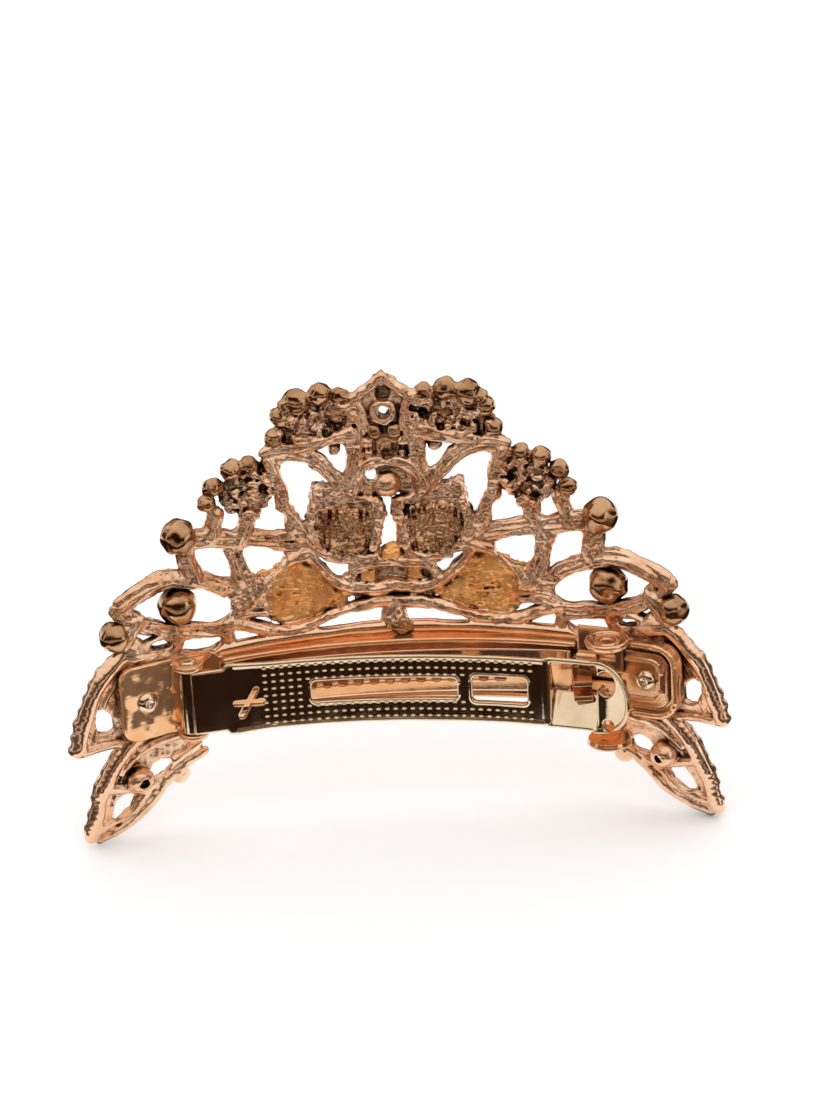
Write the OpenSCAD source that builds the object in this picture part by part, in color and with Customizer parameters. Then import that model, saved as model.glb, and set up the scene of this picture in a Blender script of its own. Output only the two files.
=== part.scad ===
// Crown-shaped openwork barrette on a curved spring clip.
// X runs along the barrette, +Z up to the crown tip, -Y towards the hair.
// Origin: middle of the clip's base plate, on the face the ornament is fixed to.

/* [Ornament] */
// Radius the ornament and the base plate are bent to
plate_r = 80; // [75:1:90]
// Thickness of the cast openwork
casting_t = 2; // [1.6:0.1:2.4]
// Radius of the big ball cup on each shoulder
shoulder_ball_r = 2.5; // [2.1:0.1:2.7]
// Radius of the ball cup inside each pointed frame
frame_ball_r = 2.8; // [2.4:0.1:3]
// Radius of the round cup at each end
end_cup_r = 2.3; // [2:0.1:2.6]
// Radius of the round cup in the middle
centre_cup_r = 2; // [1.6:0.1:2.2]
// Size of the small beads, as a multiple
bead_size = 1; // [0.85:0.05:1.1]

/* [Base plate] */
// Thickness of the base plate
base_t = 1.1; // [0.9:0.1:1.3]
// Width of the base plate between its two ends
base_w = 9.5; // [8.5:0.5:9.5]
// Height of the turned-up edges
flange_h = 1.5; // [1:0.1:1.8]

/* [Clasp arm] */
// Radius the arm is bowed to
arm_r = 95; // [90:1:105]
// Distance from the base plate's outer face to the arm at the middle
arm_gap = 10.4; // [10:0.1:11]
// Thickness of the arm's sheet
arm_t = 0.8; // [0.6:0.1:0.9]
// Width of the arm along its patterned length
arm_w = 10.3; // [9.6:0.1:10.6]
// Radius of the hinge pin
pin_r = 0.8; // [0.7:0.05:0.9]
// Radial clearance of the hinge
hinge_fit = 0.05; // [0.03:0.01:0.08]

/* [Tension bar] */
// Thickness of the tension bar
bar_t = 0.5; // [0.4:0.1:0.6]
// Spacing of the teeth along the bar's slot
tooth_pitch = 2.3; // [2:0.1:2.6]
// Height of the teeth
tooth_h = 0.7; // [0.5:0.1:0.9]

/* [Catch] */
// Thickness of the catch pieces
catch_t = 0.5; // [0.4:0.1:0.6]
// Radius of the finger tabs
tab_r = 3.2; // [2.8:0.1:3.4]
// Gap between each hook and the arm's rail
hook_gap = 0.3; // [0.25:0.05:0.4]

/* [Hidden] */
$fn = 64;
eps = 0.02;
reach = 60;               // longer than any outline is tall
right_side = 1;
left_side = -1;
gold = [0.86, 0.62, 0.47];
champagne = [0.72, 0.63, 0.45];
stone_tint = [0.9, 0.86, 0.9];

front_r = plate_r + casting_t;
base_in = plate_r - base_t;
arm_cy = -arm_gap - arm_r;
knuckle_r = pin_r + hinge_fit + 0.8;
hinge_turn = 18.1;
pin_off = 1.25;
arm_pin_x = -(arm_r + pin_off) * sin(hinge_turn);   // pin, before the arm is tilted
arm_pin_y = arm_cy + (arm_r + pin_off) * cos(hinge_turn);
arm_tilt = 4.5;              // the hinge end lies closer to the base than the catch end
hold_x = 26.6;               // where the hooks hold the arm
hold_y = -13.05;
pin_x = hold_x + (arm_pin_x - hold_x) * cos(arm_tilt) + (arm_pin_y - hold_y) * sin(arm_tilt);
pin_y = hold_y - (arm_pin_x - hold_x) * sin(arm_tilt) + (arm_pin_y - hold_y) * cos(arm_tilt);
ear_in = 5.05;
ear_t = 0.8;
bar_r = 110;
bar_gap = 3;
bar_cy = -bar_gap - bar_r;
rivet_x = 36.5;

// Smooth curve through a short list of points
function mid(a, b, c, d, t) =
  0.5 * ((2 * b) + (c - a) * t + (2 * a - 5 * b + 4 * c - d) * t * t
  + (3 * b - a - 3 * c + d) * t * t * t);
function pick(p, i) = p[max(0, min(len(p) - 1, i))];
function ring(p, i) = p[(i + len(p)) % len(p)];
function open_curve(p, n) = concat(
  [for (i = [0 : len(p) - 2]) for (k = [0 : n - 1])
    mid(pick(p, i - 1), p[i], p[i + 1], pick(p, i + 2), k / n)],
  [p[len(p) - 1]]);
function closed_curve(p, n) =
  [for (i = [0 : len(p) - 1]) for (k = [0 : n - 1])
    mid(ring(p, i - 1), p[i], ring(p, i + 1), ring(p, i + 2), k / n)];
function unit(v) = v / norm(v);
function side_step(c, i) =
  let (d = unit(pick(c, i + 1) - pick(c, i - 1))) [-d[1], d[0]];
function lerp(a, b, t) = a + (b - a) * t;

// Flat outlines, drawn in X and Z
module blob(p, n = 4) {
  polygon(closed_curve(p, n));
}
module ribbon(p, w0, w1, n = 4) {
  c = open_curve(p, n);
  m = len(c) - 1;
  one = [for (i = [0 : m]) c[i] + side_step(c, i) * lerp(w0, w1, i / m) / 2];
  two = [for (i = [m : -1 : 0]) c[i] - side_step(c, i) * lerp(w0, w1, i / m) / 2];
  polygon(concat(one, two));
}
module round_box(x0, x1, half_z, r) {
  translate([x0, -half_z + r]) square([x1 - x0, 2 * (half_z - r)]);
  translate([x0 + r, -half_z]) square([x1 - x0 - 2 * r, 2 * half_z]);
  for (x = [x0 + r, x1 - r]) for (z = [-half_z + r, half_z - r]) {
    translate([x, z]) circle(r);
  }
}

// A flat outline pushed through a curved wall of the given radii
module bent(r0, r1, cy = -plate_r) {
  intersection() {
    rotate([90, 0, 0]) translate([0, 0, -reach]) linear_extrude(2 * reach) children();
    translate([0, cy, -reach]) difference() {
      cylinder(r = r1, h = 2 * reach, $fn = 180);
      translate([0, 0, -1]) cylinder(r = r0, h = 2 * reach + 2, $fn = 180);
    }
  }
}
// A spot on the curved ornament: local +Y points out of its front
module at(x, z, r) {
  translate([0, -plate_r, z]) rotate([0, 0, -asin(x / plate_r)]) translate([0, r, 0])
    children();
}
module hand(s) {
  mirror([s < 0 ? 1 : 0, 0, 0]) children();
}

// Outlines of the right half of the openwork
module o_tip() {
  difference() {
    polygon([[0, 46], [4.2, 42], [3, 39], [1.4, 36.2], [-1.4, 36.2], [-3, 39], [-4.2, 42]]);
    translate([0, 39.4]) circle(0.6);
  }
}
module o_crest_plate() {
  blob([[2.6, 36], [2.9, 39.5], [5, 41.6], [9, 42], [13, 40.6], [14.6, 38], [14, 35],
    [11, 34], [8, 35.2], [5, 34.2]]);
}
module o_side_plate() {
  blob([[16.4, 26.5], [16.8, 30.2], [19.5, 31.8], [22.6, 30.8], [24.2, 28.2], [23.4, 24.6],
    [20.5, 23.4], [18, 24.2]]);
}
module o_petal() {
  blob([[0.8, 25.6], [2.4, 26.8], [5.2, 26.4], [8, 26.8], [11.2, 28.4], [11.6, 24],
    [10.6, 19.6], [7.4, 17], [3.6, 16.6], [1.2, 19.4], [1, 22.6]]);
}
module o_wing() {
  blob([[0.2, 8.6], [0.2, 13], [3.4, 15], [8, 16], [13, 18.4], [18.5, 17.4], [22.4, 14.6],
    [23.4, 11.4], [20, 8.8], [15.5, 7], [10.5, 8.8], [5, 9.6]]);
}
module o_frame() {
  difference() {
    blob([[40, 15], [36.5, 18.2], [32, 19.6], [27.5, 18.2], [23.4, 14.6], [22.6, 11.6],
      [24.6, 9], [29, 8.4], [34, 10], [38, 13]]);
    blob([[37, 14.9], [34.6, 16.6], [31.6, 17.4], [28.4, 16.2], [25.2, 13], [26.4, 10.8],
      [29.6, 10.2], [33.4, 11.6]]);
  }
}
module o_upper_leaf() {
  difference() {
    blob([[37, 9.4], [41, 8], [44, 5], [46, 1.4], [47.2, -4.8], [43.4, -5.6], [39.6, -5.8],
      [36.6, -3], [34.4, 2], [34.8, 6]]);
    polygon(open_curve([[41.2, -3.6], [40.6, 0], [42, 3], [43.8, 0.6], [44.6, -3.2]], 3));
  }
}
module o_lower_leaf() {
  difference() {
    blob([[33.6, -5.6], [37.6, -4.4], [41.2, -6.8], [43.6, -11], [45.2, -15], [45.8, -20.4],
      [41, -19.8], [37, -17], [33.4, -13.6], [29.6, -11], [30.4, -8.6]]);
    polygon(open_curve([[39, -14.6], [41, -13.6], [43.4, -17.6], [40.4, -17.8]], 3));
    polygon(open_curve([[33, -10.8], [34.6, -9], [36.6, -11.4], [35.4, -12.6]], 3));
  }
}
module o_scroll() {
  ribbon([[29.6, 23.6], [25, 21.6], [21, 21.4], [16, 20.4], [11.4, 19.6]], 1.6, 2);
  ribbon([[22.4, 21.4], [21.6, 18], [19.6, 14]], 2.4, 2.8);
  ribbon([[24.4, 26.6], [22.8, 23.6], [21.4, 21.2]], 1.4, 1.6);
  ribbon([[17.6, 25.6], [16.6, 23], [15, 20.4]], 1.6, 2);
  ribbon([[27, 22.6], [26, 20.4], [24.2, 17.6], [23.4, 14.8]], 1.4, 1.6);
}
module o_arch() {
  ribbon([[18.4, 32], [15.8, 34.4], [12.8, 34.2], [9.6, 32.4], [7.6, 30], [6.4, 26.8]], 1.6, 1.9);
  ribbon([[16.9, 31.4], [16, 28.6], [14.8, 25], [12.4, 22]], 2.2, 2.4);
  ribbon([[4.6, 36], [4.9, 32], [5.4, 27.4]], 1.9, 2.1);
  ribbon([[2.2, 36.8], [3, 33.6], [1.6, 30.6], [0, 29.4]], 1.5, 1.7);
}
module o_rail() {
  ribbon([[-27, 5.4], [-18, 5.9], [-8, 7.6], [0, 8], [8, 7.6], [18, 5.9], [27, 5.4]], 2.2, 2.2);
}

// Openwork
module bottom_rail() {
  color(gold) bent(plate_r, front_r + 0.4) o_rail();
}
module crown_tip() {
  color(gold) bent(plate_r - 0.4, front_r + 0.4) o_tip();
}
module wing_leaf(s) {
  color(gold) hand(s) bent(plate_r + 0.2, front_r) difference() {
    intersection() {
      o_wing();
      square([reach, reach]);
    }
    o_petal();
    o_rail();
    o_frame();
    o_scroll();
  }
}
module pointed_frame(s) {
  color(gold) hand(s) bent(plate_r, front_r + 0.2) o_frame();
}
module upper_leaf(s) {
  color(gold) hand(s) bent(plate_r, front_r) difference() {
    o_upper_leaf();
    o_frame();
  }
}
module lower_leaf(s) {
  post_r = 1.4;
  color(gold) hand(s) {
    bent(plate_r, front_r) difference() {
      o_lower_leaf();
      o_upper_leaf();
    }
    at(37.9, -11.8, plate_r - 0.9) rotate([-90, 0, 0]) cylinder(r = post_r, h = 1.5);
  }
}
module side_scroll(s) {
  color(gold) hand(s) bent(plate_r, front_r - 0.2) difference() {
    o_scroll();
    o_side_plate();
    o_petal();
    o_frame();
    o_arch();
  }
}
module crest_arch(s) {
  color(gold) hand(s) bent(plate_r - 0.3, front_r) difference() {
    intersection() {
      o_arch();
      square([reach, reach]);
    }
    o_crest_plate();
    o_side_plate();
    o_petal();
    o_tip();
  }
}
module petal_cup(s) {
  color(gold) hand(s) difference() {
    bent(plate_r - 0.2, front_r + 1.4) o_petal();
    at(6.4, 21.6, front_r + 0.3) rotate([-90, 0, 0]) cylinder(r = 3.3, h = 3);
  }
}
module crest_plate(s) {
  color(gold) hand(s) bent(plate_r, front_r + 0.4) difference() {
    o_crest_plate();
    o_tip();
  }
}
module side_plate(s) {
  color(gold) hand(s) bent(plate_r, front_r + 0.4) o_side_plate();
}
module crest_beads(s) {
  color(gold) hand(s) {
    for (b = [[6.2, 42.6, 1.3], [9.1, 43.3, 1.5], [12.3, 42.3, 1.7], [15, 39.8, 1.2],
      [16, 36.6, 1.1]]) {
      at(b[0], b[1], plate_r + 0.6) sphere(b[2] * bead_size);
    }
  }
}
module side_beads(s) {
  color(gold) hand(s) {
    for (b = [[18.9, 32.6, 1.35], [22.2, 32, 1.45], [24.7, 30, 1.4], [25.2, 26.9, 1.2]]) {
      at(b[0], b[1], plate_r + 0.6) sphere(b[2] * bead_size);
    }
  }
}

// Ball cups: round at the back, each holding a stone in its front
cup_floor = 0.9;
module ball_cup(x, z, r) {
  color(gold) at(x, z, plate_r + 1) sphere(r);
}
module shoulder_ball(s) {
  hand(s) ball_cup(29.8, 23.8, shoulder_ball_r);
}
module frame_ball(s) {
  hand(s) ball_cup(30.8, 12.8, frame_ball_r);
}
module end_cup(s) {
  hand(s) ball_cup(40, 10.4, end_cup_r);
}

// Front stones
module stone(r, h) {
  rotate([-90, 0, 0]) rotate_extrude() polygon([[0, 0], [r * 0.96, 0], [r, h * 0.3],
    [r * 0.6, h], [0, h]]);
}
module round_stones(s) {
  seat = plate_r + 1 + cup_floor;
  color(stone_tint) hand(s) {
    at(29.8, 23.8, seat) stone(shoulder_ball_r * 0.82, 1.5);
    at(30.8, 12.8, seat) stone(frame_ball_r * 0.84, 1.7);
    at(40, 10.4, seat) stone(end_cup_r * 0.82, 1.4);
  }
}
module petal_stone(s) {
  color(stone_tint) hand(s) at(6.4, 21.6, front_r + 0.3) stone(3.2, 2.2);
}
module centre_cup() {
  color(gold) at(0, 28.4, plate_r - 0.6) rotate([-90, 0, 0])
    cylinder(r1 = centre_cup_r * 0.7, r2 = centre_cup_r, h = casting_t + 1);
}
module leaf_stones(s) {
  gem_r = 0.8;
  color(stone_tint) hand(s) {
    for (p = open_curve([[38.4, 7.4], [41.8, 5.6], [44.2, 2.2], [45.7, -3.4]], 2)) {
      at(p[0], p[1], front_r) stone(gem_r, 0.8);
    }
    for (p = open_curve([[39.6, -8.4], [42, -11], [43.7, -14.6], [44.4, -18.4]], 2)) {
      at(p[0], p[1], front_r) stone(gem_r, 0.8);
    }
  }
}
module crest_stones() {
  gem_r = 1.15;
  color(stone_tint) for (s = [left_side, right_side]) hand(s) {
    for (p = [[5.6, 38], [8.8, 39.2], [11.8, 37.6], [19.4, 28.6], [21.6, 26.2]]) {
      at(p[0], p[1], front_r + 0.4) stone(gem_r, 1);
    }
  }
}

// Clip
module tray_outline(inset) {
  round_box(27.6 + inset, 41 - inset, 5.8 - inset, 3 - inset);
}
module ear() {
  low = 9;
  intersection() {
    linear_extrude(ear_t) union() {
      translate([pin_x, pin_y]) circle(2.2);
      polygon([[pin_x - 2.2, pin_y], [pin_x + 2.2, pin_y], [pin_x + 4, pin_y + low + 3],
        [pin_x - 4, pin_y + low]]);
    }
    translate([0, -plate_r, -1]) cylinder(r = base_in + base_t / 2, h = ear_t + 2, $fn = 180);
  }
}
module base_plate() {
  half = base_w / 2;
  rim_t = 0.8;
  flange_l = 50.8;
  hole_r = 1;
  color(champagne) difference() {
    union() {
      bent(base_in, plate_r) {
        translate([-34, -half]) square([68, base_w]);
        round_box(-40, -25.6, ear_in + ear_t, 2);
        tray_outline(0);
      }
      for (z = [-half, half - rim_t]) {
        bent(base_in - flange_h, base_in + eps) translate([-25, z]) square([flange_l, rim_t]);
      }
      bent(base_in - 0.6, base_in + eps) translate([-25, -0.9]) square([49, 1.8]);
      bent(base_in - 1.3, base_in + eps) difference() {
        tray_outline(0);
        tray_outline(rim_t);
        translate([27, -7]) square([7.8, 14]);
      }
      for (z = [-ear_in - ear_t, ear_in]) translate([0, 0, z]) ear();
    }
    translate([pin_x, pin_y, -reach / 2]) cylinder(r = pin_r, h = reach);
    for (x = [-rivet_x, rivet_x]) {
      at(x, 0, base_in - 3) rotate([-90, 0, 0]) cylinder(r = hole_r, h = 6);
    }
  }
}
module hinge_pin() {
  head_r = 1.3;
  head_t = 0.4;
  end_z = ear_in + ear_t;
  color(champagne) translate([pin_x, pin_y, 0]) {
    translate([0, 0, -end_z]) cylinder(r = pin_r, h = 2 * end_z);
    for (z = [-end_z - head_t, end_z]) translate([0, 0, z]) cylinder(r = head_r, h = head_t);
  }
}
module arm_place() {
  translate([hold_x, hold_y, 0]) rotate([0, 0, -arm_tilt]) translate([-hold_x, -hold_y, 0])
    children();
}
module arm_outline() {
  half = arm_w / 2;
  wide = ear_in - 0.15;
  flare = 5.7;
  cross_w = 0.9;
  difference() {
    polygon([[arm_pin_x, -wide], [-25.2, -wide], [-25.2, -flare], [-24.2, -flare],
      [-18.5, -half], [22, -half], [22, half], [-18.5, half], [-24.2, flare], [-25.2, flare],
      [-25.2, wide], [arm_pin_x, wide]]);
    round_box(-12.7, 8.5, 1.6, 0.7);
    round_box(10.7, 18.8, 2, 0.7);
    translate([-21.8, -0.8]) {
      rotate(25) square([4.6, cross_w], center = true);
      rotate(-45) square([3.8, cross_w], center = true);
    }
  }
}
loop_x = 21.6;
loop_turn = -15;
loop_l = 8.2;
rail_out = 5.3;
rail_in = 1.9;
rail_drop = 3;
module loop_frame() {
  translate([loop_x, arm_cy + sqrt(arm_r * arm_r - loop_x * loop_x), 0])
    rotate([0, 0, loop_turn]) children();
}
module along_x(l) {
  rotate([90, 0, 90]) linear_extrude(l) children();
}
module rail_section() {
  polygon([[0, rail_out], [rail_drop, rail_in], [rail_drop - arm_t, rail_in - 0.1],
    [-arm_t, rail_out - 0.2], [-arm_t, rail_out]]);
}
module loop_wall(half) {
  polygon([[-arm_t, -half], [0, -half], [rail_drop, -rail_in], [rail_drop, rail_in],
    [0, half], [-arm_t, half]]);
}
module clasp_arm() {
  color(champagne) arm_place() {
    difference() {
      union() {
        bent(arm_r - arm_t, arm_r, arm_cy) arm_outline();
        translate([arm_pin_x, arm_pin_y, -ear_in + 0.15])
          cylinder(r = knuckle_r, h = 2 * ear_in - 0.3);
      }
      translate([arm_pin_x, arm_pin_y, -ear_in]) cylinder(r = pin_r + hinge_fit, h = 2 * ear_in);
    }
    loop_frame() {
      for (s = [0, 1]) mirror([0, 0, s]) along_x(loop_l) rail_section();
      along_x(arm_t) loop_wall(rail_out);
      translate([loop_l - arm_t, 0, 0]) along_x(arm_t) loop_wall(rail_out);
      translate([0, 0, 0]) rotate([90, 0, 0]) linear_extrude(arm_t) difference() {
        translate([loop_l - 1, 0]) circle(5.7);
        translate([-reach + loop_l - arm_t, -reach / 2]) square([reach, reach]);
      }
    }
  }
}
module tooth_edge(s) {
  teeth = 13;
  half = 1.6;
  mirror([0, s, 0]) for (i = [0 : teeth - 1]) {
    translate([(i - (teeth - 1) / 2) * tooth_pitch, 0])
      polygon([[-0.75, half + 0.1], [-0.4, half - tooth_h], [0.4, half - tooth_h],
        [0.75, half + 0.1]]);
  }
}
module tension_bar() {
  bar_half = 3.4;
  bar_end = 25.6;
  foot_l = 0.9;
  color(champagne) {
    bent(bar_r - bar_t, bar_r, bar_cy) {
      difference() {
        round_box(-bar_end, bar_end, bar_half, 0.6);
        round_box(-16, 16, 1.6, 0.5);
      }
      for (s = [0, 1]) tooth_edge(s);
    }
    for (s = [left_side, right_side]) hand(s) intersection() {
      translate([bar_end - foot_l - 0.3, -7, -2.4]) cube([foot_l, 3, 4.8]);
      translate([0, -plate_r, -reach / 2]) cylinder(r = base_in - 0.65, h = reach, $fn = 180);
      translate([0, bar_cy, -reach / 2]) difference() {
        cylinder(r = bar_r + 3, h = reach, $fn = 180);
        translate([0, 0, -1]) cylinder(r = bar_r - bar_t / 2, h = reach + 2, $fn = 180);
      }
    }
  }
}
catch_r = base_in - 0.7;
catch_x = 28;
catch_y = -plate_r + sqrt(catch_r * catch_r - catch_x * catch_x);
catch_turn = -asin(catch_x / catch_r);
pivot_z = 3;
pivot_y = 1.05;
pivot_r = 0.35;
knuckle_x0 = -1.6;
knuckle_l = 3;
module catch_frame() {
  translate([catch_x, catch_y, 0]) rotate([0, 0, catch_turn]) children();
}
// A rod along the catch, at the upper piece's pivot
module pivot_rod(x0, l, r) {
  translate([x0, -pivot_y, pivot_z]) rotate([0, 90, 0]) cylinder(r = r, h = l);
}
module catch_base() {
  lug_t = 0.4;
  lug_w = 1.4;
  lug_x = knuckle_x0 - 0.1 - lug_t;
  color(gold) {
    difference() {
      bent(catch_r, base_in) {
        round_box(31.4, 39.8, 4.3, 2);
        translate([25.6, -3.8]) square([6.6, 7.6]);
      }
      at(rivet_x, 0, base_in - 3) rotate([-90, 0, 0]) cylinder(r = 1, h = 6);
    }
    for (s = [0, 1]) mirror([0, 0, s]) catch_frame() {
      translate([lug_x, -pivot_y - 0.6, pivot_z - lug_w / 2]) cube([lug_t, pivot_y + 0.9, lug_w]);
      pivot_rod(lug_x, lug_t + 0.1 + knuckle_l, pivot_r);
    }
  }
}
module catch_half() {
  prong_in = 0.75;
  prong_x = 25.2;
  prong_w = 2.8;
  prong_top = 13.4;
  foot_low = 0.35;
  foot_x1 = 5.2;
  hook_t = 0.7;
  hook_out = rail_in - 0.1 - hook_gap;
  stem_z = 7.2;
  stem_w = 2.4;
  tab_x = 4.3;
  tab_y = 5.4;
  knuckle_t = 0.3;
  color(gold) difference() {
    union() {
      catch_frame() {
        translate([knuckle_x0, -foot_low - catch_t, prong_in])
          cube([foot_x1 - knuckle_x0, catch_t, stem_z + catch_t - prong_in]);
        translate([tab_x - stem_w / 2, -tab_y, stem_z]) cube([stem_w, tab_y - foot_low, catch_t]);
        translate([tab_x, -tab_y, stem_z]) {
          cylinder(r = tab_r, h = catch_t);
          translate([0, 0, catch_t]) difference() {
            cylinder(r = tab_r, h = catch_t);
            translate([0, 0, -1]) cylinder(r = tab_r - catch_t, h = 3);
          }
        }
        pivot_rod(knuckle_x0, knuckle_l, pivot_r + hinge_fit + knuckle_t);
      }
      translate([prong_x, -prong_top, prong_in]) cube([prong_w, 5.9, catch_t]);
      translate([prong_x, -prong_top, prong_in]) cube([prong_w, hook_t, hook_out - prong_in]);
    }
    catch_frame() pivot_rod(knuckle_x0 - 1, knuckle_l + 2, pivot_r + hinge_fit);
  }
}
module catch_upper() {
  catch_half();
}
module catch_lower() {
  mirror([0, 0, 1]) catch_half();
}
module rivet(x, low) {
  at(x, 0, low) rotate([-90, 0, 0]) {
    cylinder(r = 1, h = plate_r - low);
    rotate_extrude() polygon([[0, -0.9], [0.7, -0.8], [1.3, -0.45], [1.55, 0], [0, 0]]);
  }
}
module rivets() {
  color(champagne) {
    rivet(-rivet_x, base_in);
    rivet(rivet_x, catch_r);
  }
}
module solder_joint() {
  blob_r = 2.2;
  color(gold) difference() {
    translate([0.4, 0.4, base_w / 2 + 1]) sphere(blob_r);
    translate([-3, 0, 0]) cube([7, 4, 10]);
    translate([-3, -3, 0]) cube([7, 6, base_w / 2]);
  }
}

base_plate();
hinge_pin();
clasp_arm();
tension_bar();
catch_base();
catch_upper();
catch_lower();
rivets();
solder_joint();
bottom_rail();
crown_tip();
centre_cup();
wing_leaf(left_side);  // left_wing_leaf
wing_leaf(right_side);  // right_wing_leaf
pointed_frame(left_side);  // left_pointed_frame
pointed_frame(right_side);  // right_pointed_frame
upper_leaf(left_side);  // left_upper_leaf
upper_leaf(right_side);  // right_upper_leaf
lower_leaf(left_side);  // left_lower_leaf
lower_leaf(right_side);  // right_lower_leaf
side_scroll(left_side);  // left_side_scroll
side_scroll(right_side);  // right_side_scroll
crest_arch(left_side);  // left_crest_arch
crest_arch(right_side);  // right_crest_arch
petal_cup(left_side);  // left_petal_cup
petal_cup(right_side);  // right_petal_cup
crest_plate(left_side);  // left_crest_plate
crest_plate(right_side);  // right_crest_plate
side_plate(left_side);  // left_side_plate
side_plate(right_side);  // right_side_plate
crest_beads(left_side);  // left_crest_beads
crest_beads(right_side);  // right_crest_beads
side_beads(left_side);  // left_side_beads
side_beads(right_side);  // right_side_beads
shoulder_ball(left_side);  // left_shoulder_ball
shoulder_ball(right_side);  // right_shoulder_ball
frame_ball(left_side);  // left_frame_ball
frame_ball(right_side);  // right_frame_ball
end_cup(left_side);  // left_end_cup
end_cup(right_side);  // right_end_cup
round_stones(left_side);  // left_round_stones
round_stones(right_side);  // right_round_stones
petal_stone(left_side);  // left_petal_stone
petal_stone(right_side);  // right_petal_stone
leaf_stones(left_side);  // left_leaf_stones
leaf_stones(right_side);  // right_leaf_stones
crest_stones();
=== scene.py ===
import math

import bpy
import numpy as np
from mathutils import Matrix, Vector


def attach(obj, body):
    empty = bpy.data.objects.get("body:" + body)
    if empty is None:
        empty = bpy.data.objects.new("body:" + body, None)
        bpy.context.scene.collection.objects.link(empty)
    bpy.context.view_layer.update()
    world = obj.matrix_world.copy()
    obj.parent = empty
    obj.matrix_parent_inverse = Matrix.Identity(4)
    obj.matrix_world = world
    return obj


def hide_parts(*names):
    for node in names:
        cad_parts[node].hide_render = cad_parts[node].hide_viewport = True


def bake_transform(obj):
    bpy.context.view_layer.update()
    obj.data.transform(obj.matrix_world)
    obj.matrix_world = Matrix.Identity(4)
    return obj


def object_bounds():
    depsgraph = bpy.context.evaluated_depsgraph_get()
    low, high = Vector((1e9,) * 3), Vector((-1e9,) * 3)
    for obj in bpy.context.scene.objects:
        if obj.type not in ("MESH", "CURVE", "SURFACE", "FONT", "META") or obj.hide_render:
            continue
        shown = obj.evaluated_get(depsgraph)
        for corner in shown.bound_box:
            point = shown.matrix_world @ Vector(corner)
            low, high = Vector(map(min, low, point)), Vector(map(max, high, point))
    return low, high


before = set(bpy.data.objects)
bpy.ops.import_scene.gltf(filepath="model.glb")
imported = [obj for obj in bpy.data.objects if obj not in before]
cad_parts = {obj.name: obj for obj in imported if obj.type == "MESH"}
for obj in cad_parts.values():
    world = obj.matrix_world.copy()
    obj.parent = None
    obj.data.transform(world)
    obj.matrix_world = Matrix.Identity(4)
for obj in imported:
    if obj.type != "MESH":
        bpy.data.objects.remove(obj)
cad_low, cad_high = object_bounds()
MM = 0.001
ROOT = "ornament_and_base"

# ---- sizes, mm
PLATE_R = 80.0          # radius the ornament and base are bent to
BASE_T = 1.1            # thickness of the base plate
BASE_IN = PLATE_R - BASE_T
ARM_R = 95.0
ARM_CY = -10.4 - ARM_R
ARM_T = 0.8
HINGE_TURN = math.radians(18.1)
PIN_OFF = 1.25          # from the arm's back to the pin's axis
HOLD = np.array([26.6, -13.05])       # where the hooks hold the arm
ARM_TILT = math.radians(4.5)          # the hinge end lies nearer the base
BAR_R = 110.0
BAR_CY = -3.0 - BAR_R
CATCH_R = BASE_IN - 0.7
CATCH_X = 28.0
CATCH_Y = -PLATE_R + math.sqrt(CATCH_R**2 - CATCH_X**2)
CATCH_TURN = -math.asin(CATCH_X / CATCH_R)


def arm_placed(p):
    """The bent arm turned about its held end."""
    c, n = math.cos(ARM_TILT), math.sin(ARM_TILT)
    dx, dy = p[:, 0] - HOLD[0], p[:, 1] - HOLD[1]
    return np.stack([HOLD[0] + dx * c + dy * n, HOLD[1] - dx * n + dy * c, p[:, 2]], 1)


PIN_REACH = ARM_R + PIN_OFF
PIN_X, PIN_Y, _ = arm_placed(np.array([[-PIN_REACH * math.sin(HINGE_TURN),
                                        ARM_CY + PIN_REACH * math.cos(HINGE_TURN), 0]]))[0]


# ---- curves
def spline(points, n=6, closed=False):
    """Points along a smooth curve through a short list of points."""
    p = np.array(points, float)
    q = np.concatenate([p[-1:], p, p[:2]] if closed else [p[:1], p, p[-1:]])
    t = (np.arange(n) / n)[:, None]
    out = [0.5 * (2 * b + (c - a) * t + (2 * a - 5 * b + 4 * c - d) * t * t
                  + (3 * b - a - 3 * c + d) * t**3)
           for a, b, c, d in zip(q, q[1:], q[2:], q[3:])]
    return np.concatenate(out if closed else [*out, p[-1:]])


def shifted(path, off):
    """The path moved sideways in its plane."""
    d = np.gradient(path, axis=0)
    d /= np.linalg.norm(d, axis=1)[:, None]
    return path + off * np.stack([-d[:, 1], d[:, 0]], 1)


def between(a, b, t):
    return np.array(a, float) * (1 - t) + np.array(b, float) * t


# ---- volumes
def blended(a, b, k):
    """The lesser of two distances, melted together where they are close."""
    h = np.clip(0.5 + 0.5 * (a - b) / k, 0, 1)
    return a + (b - a) * h - k * h * (1 - h)


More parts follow.
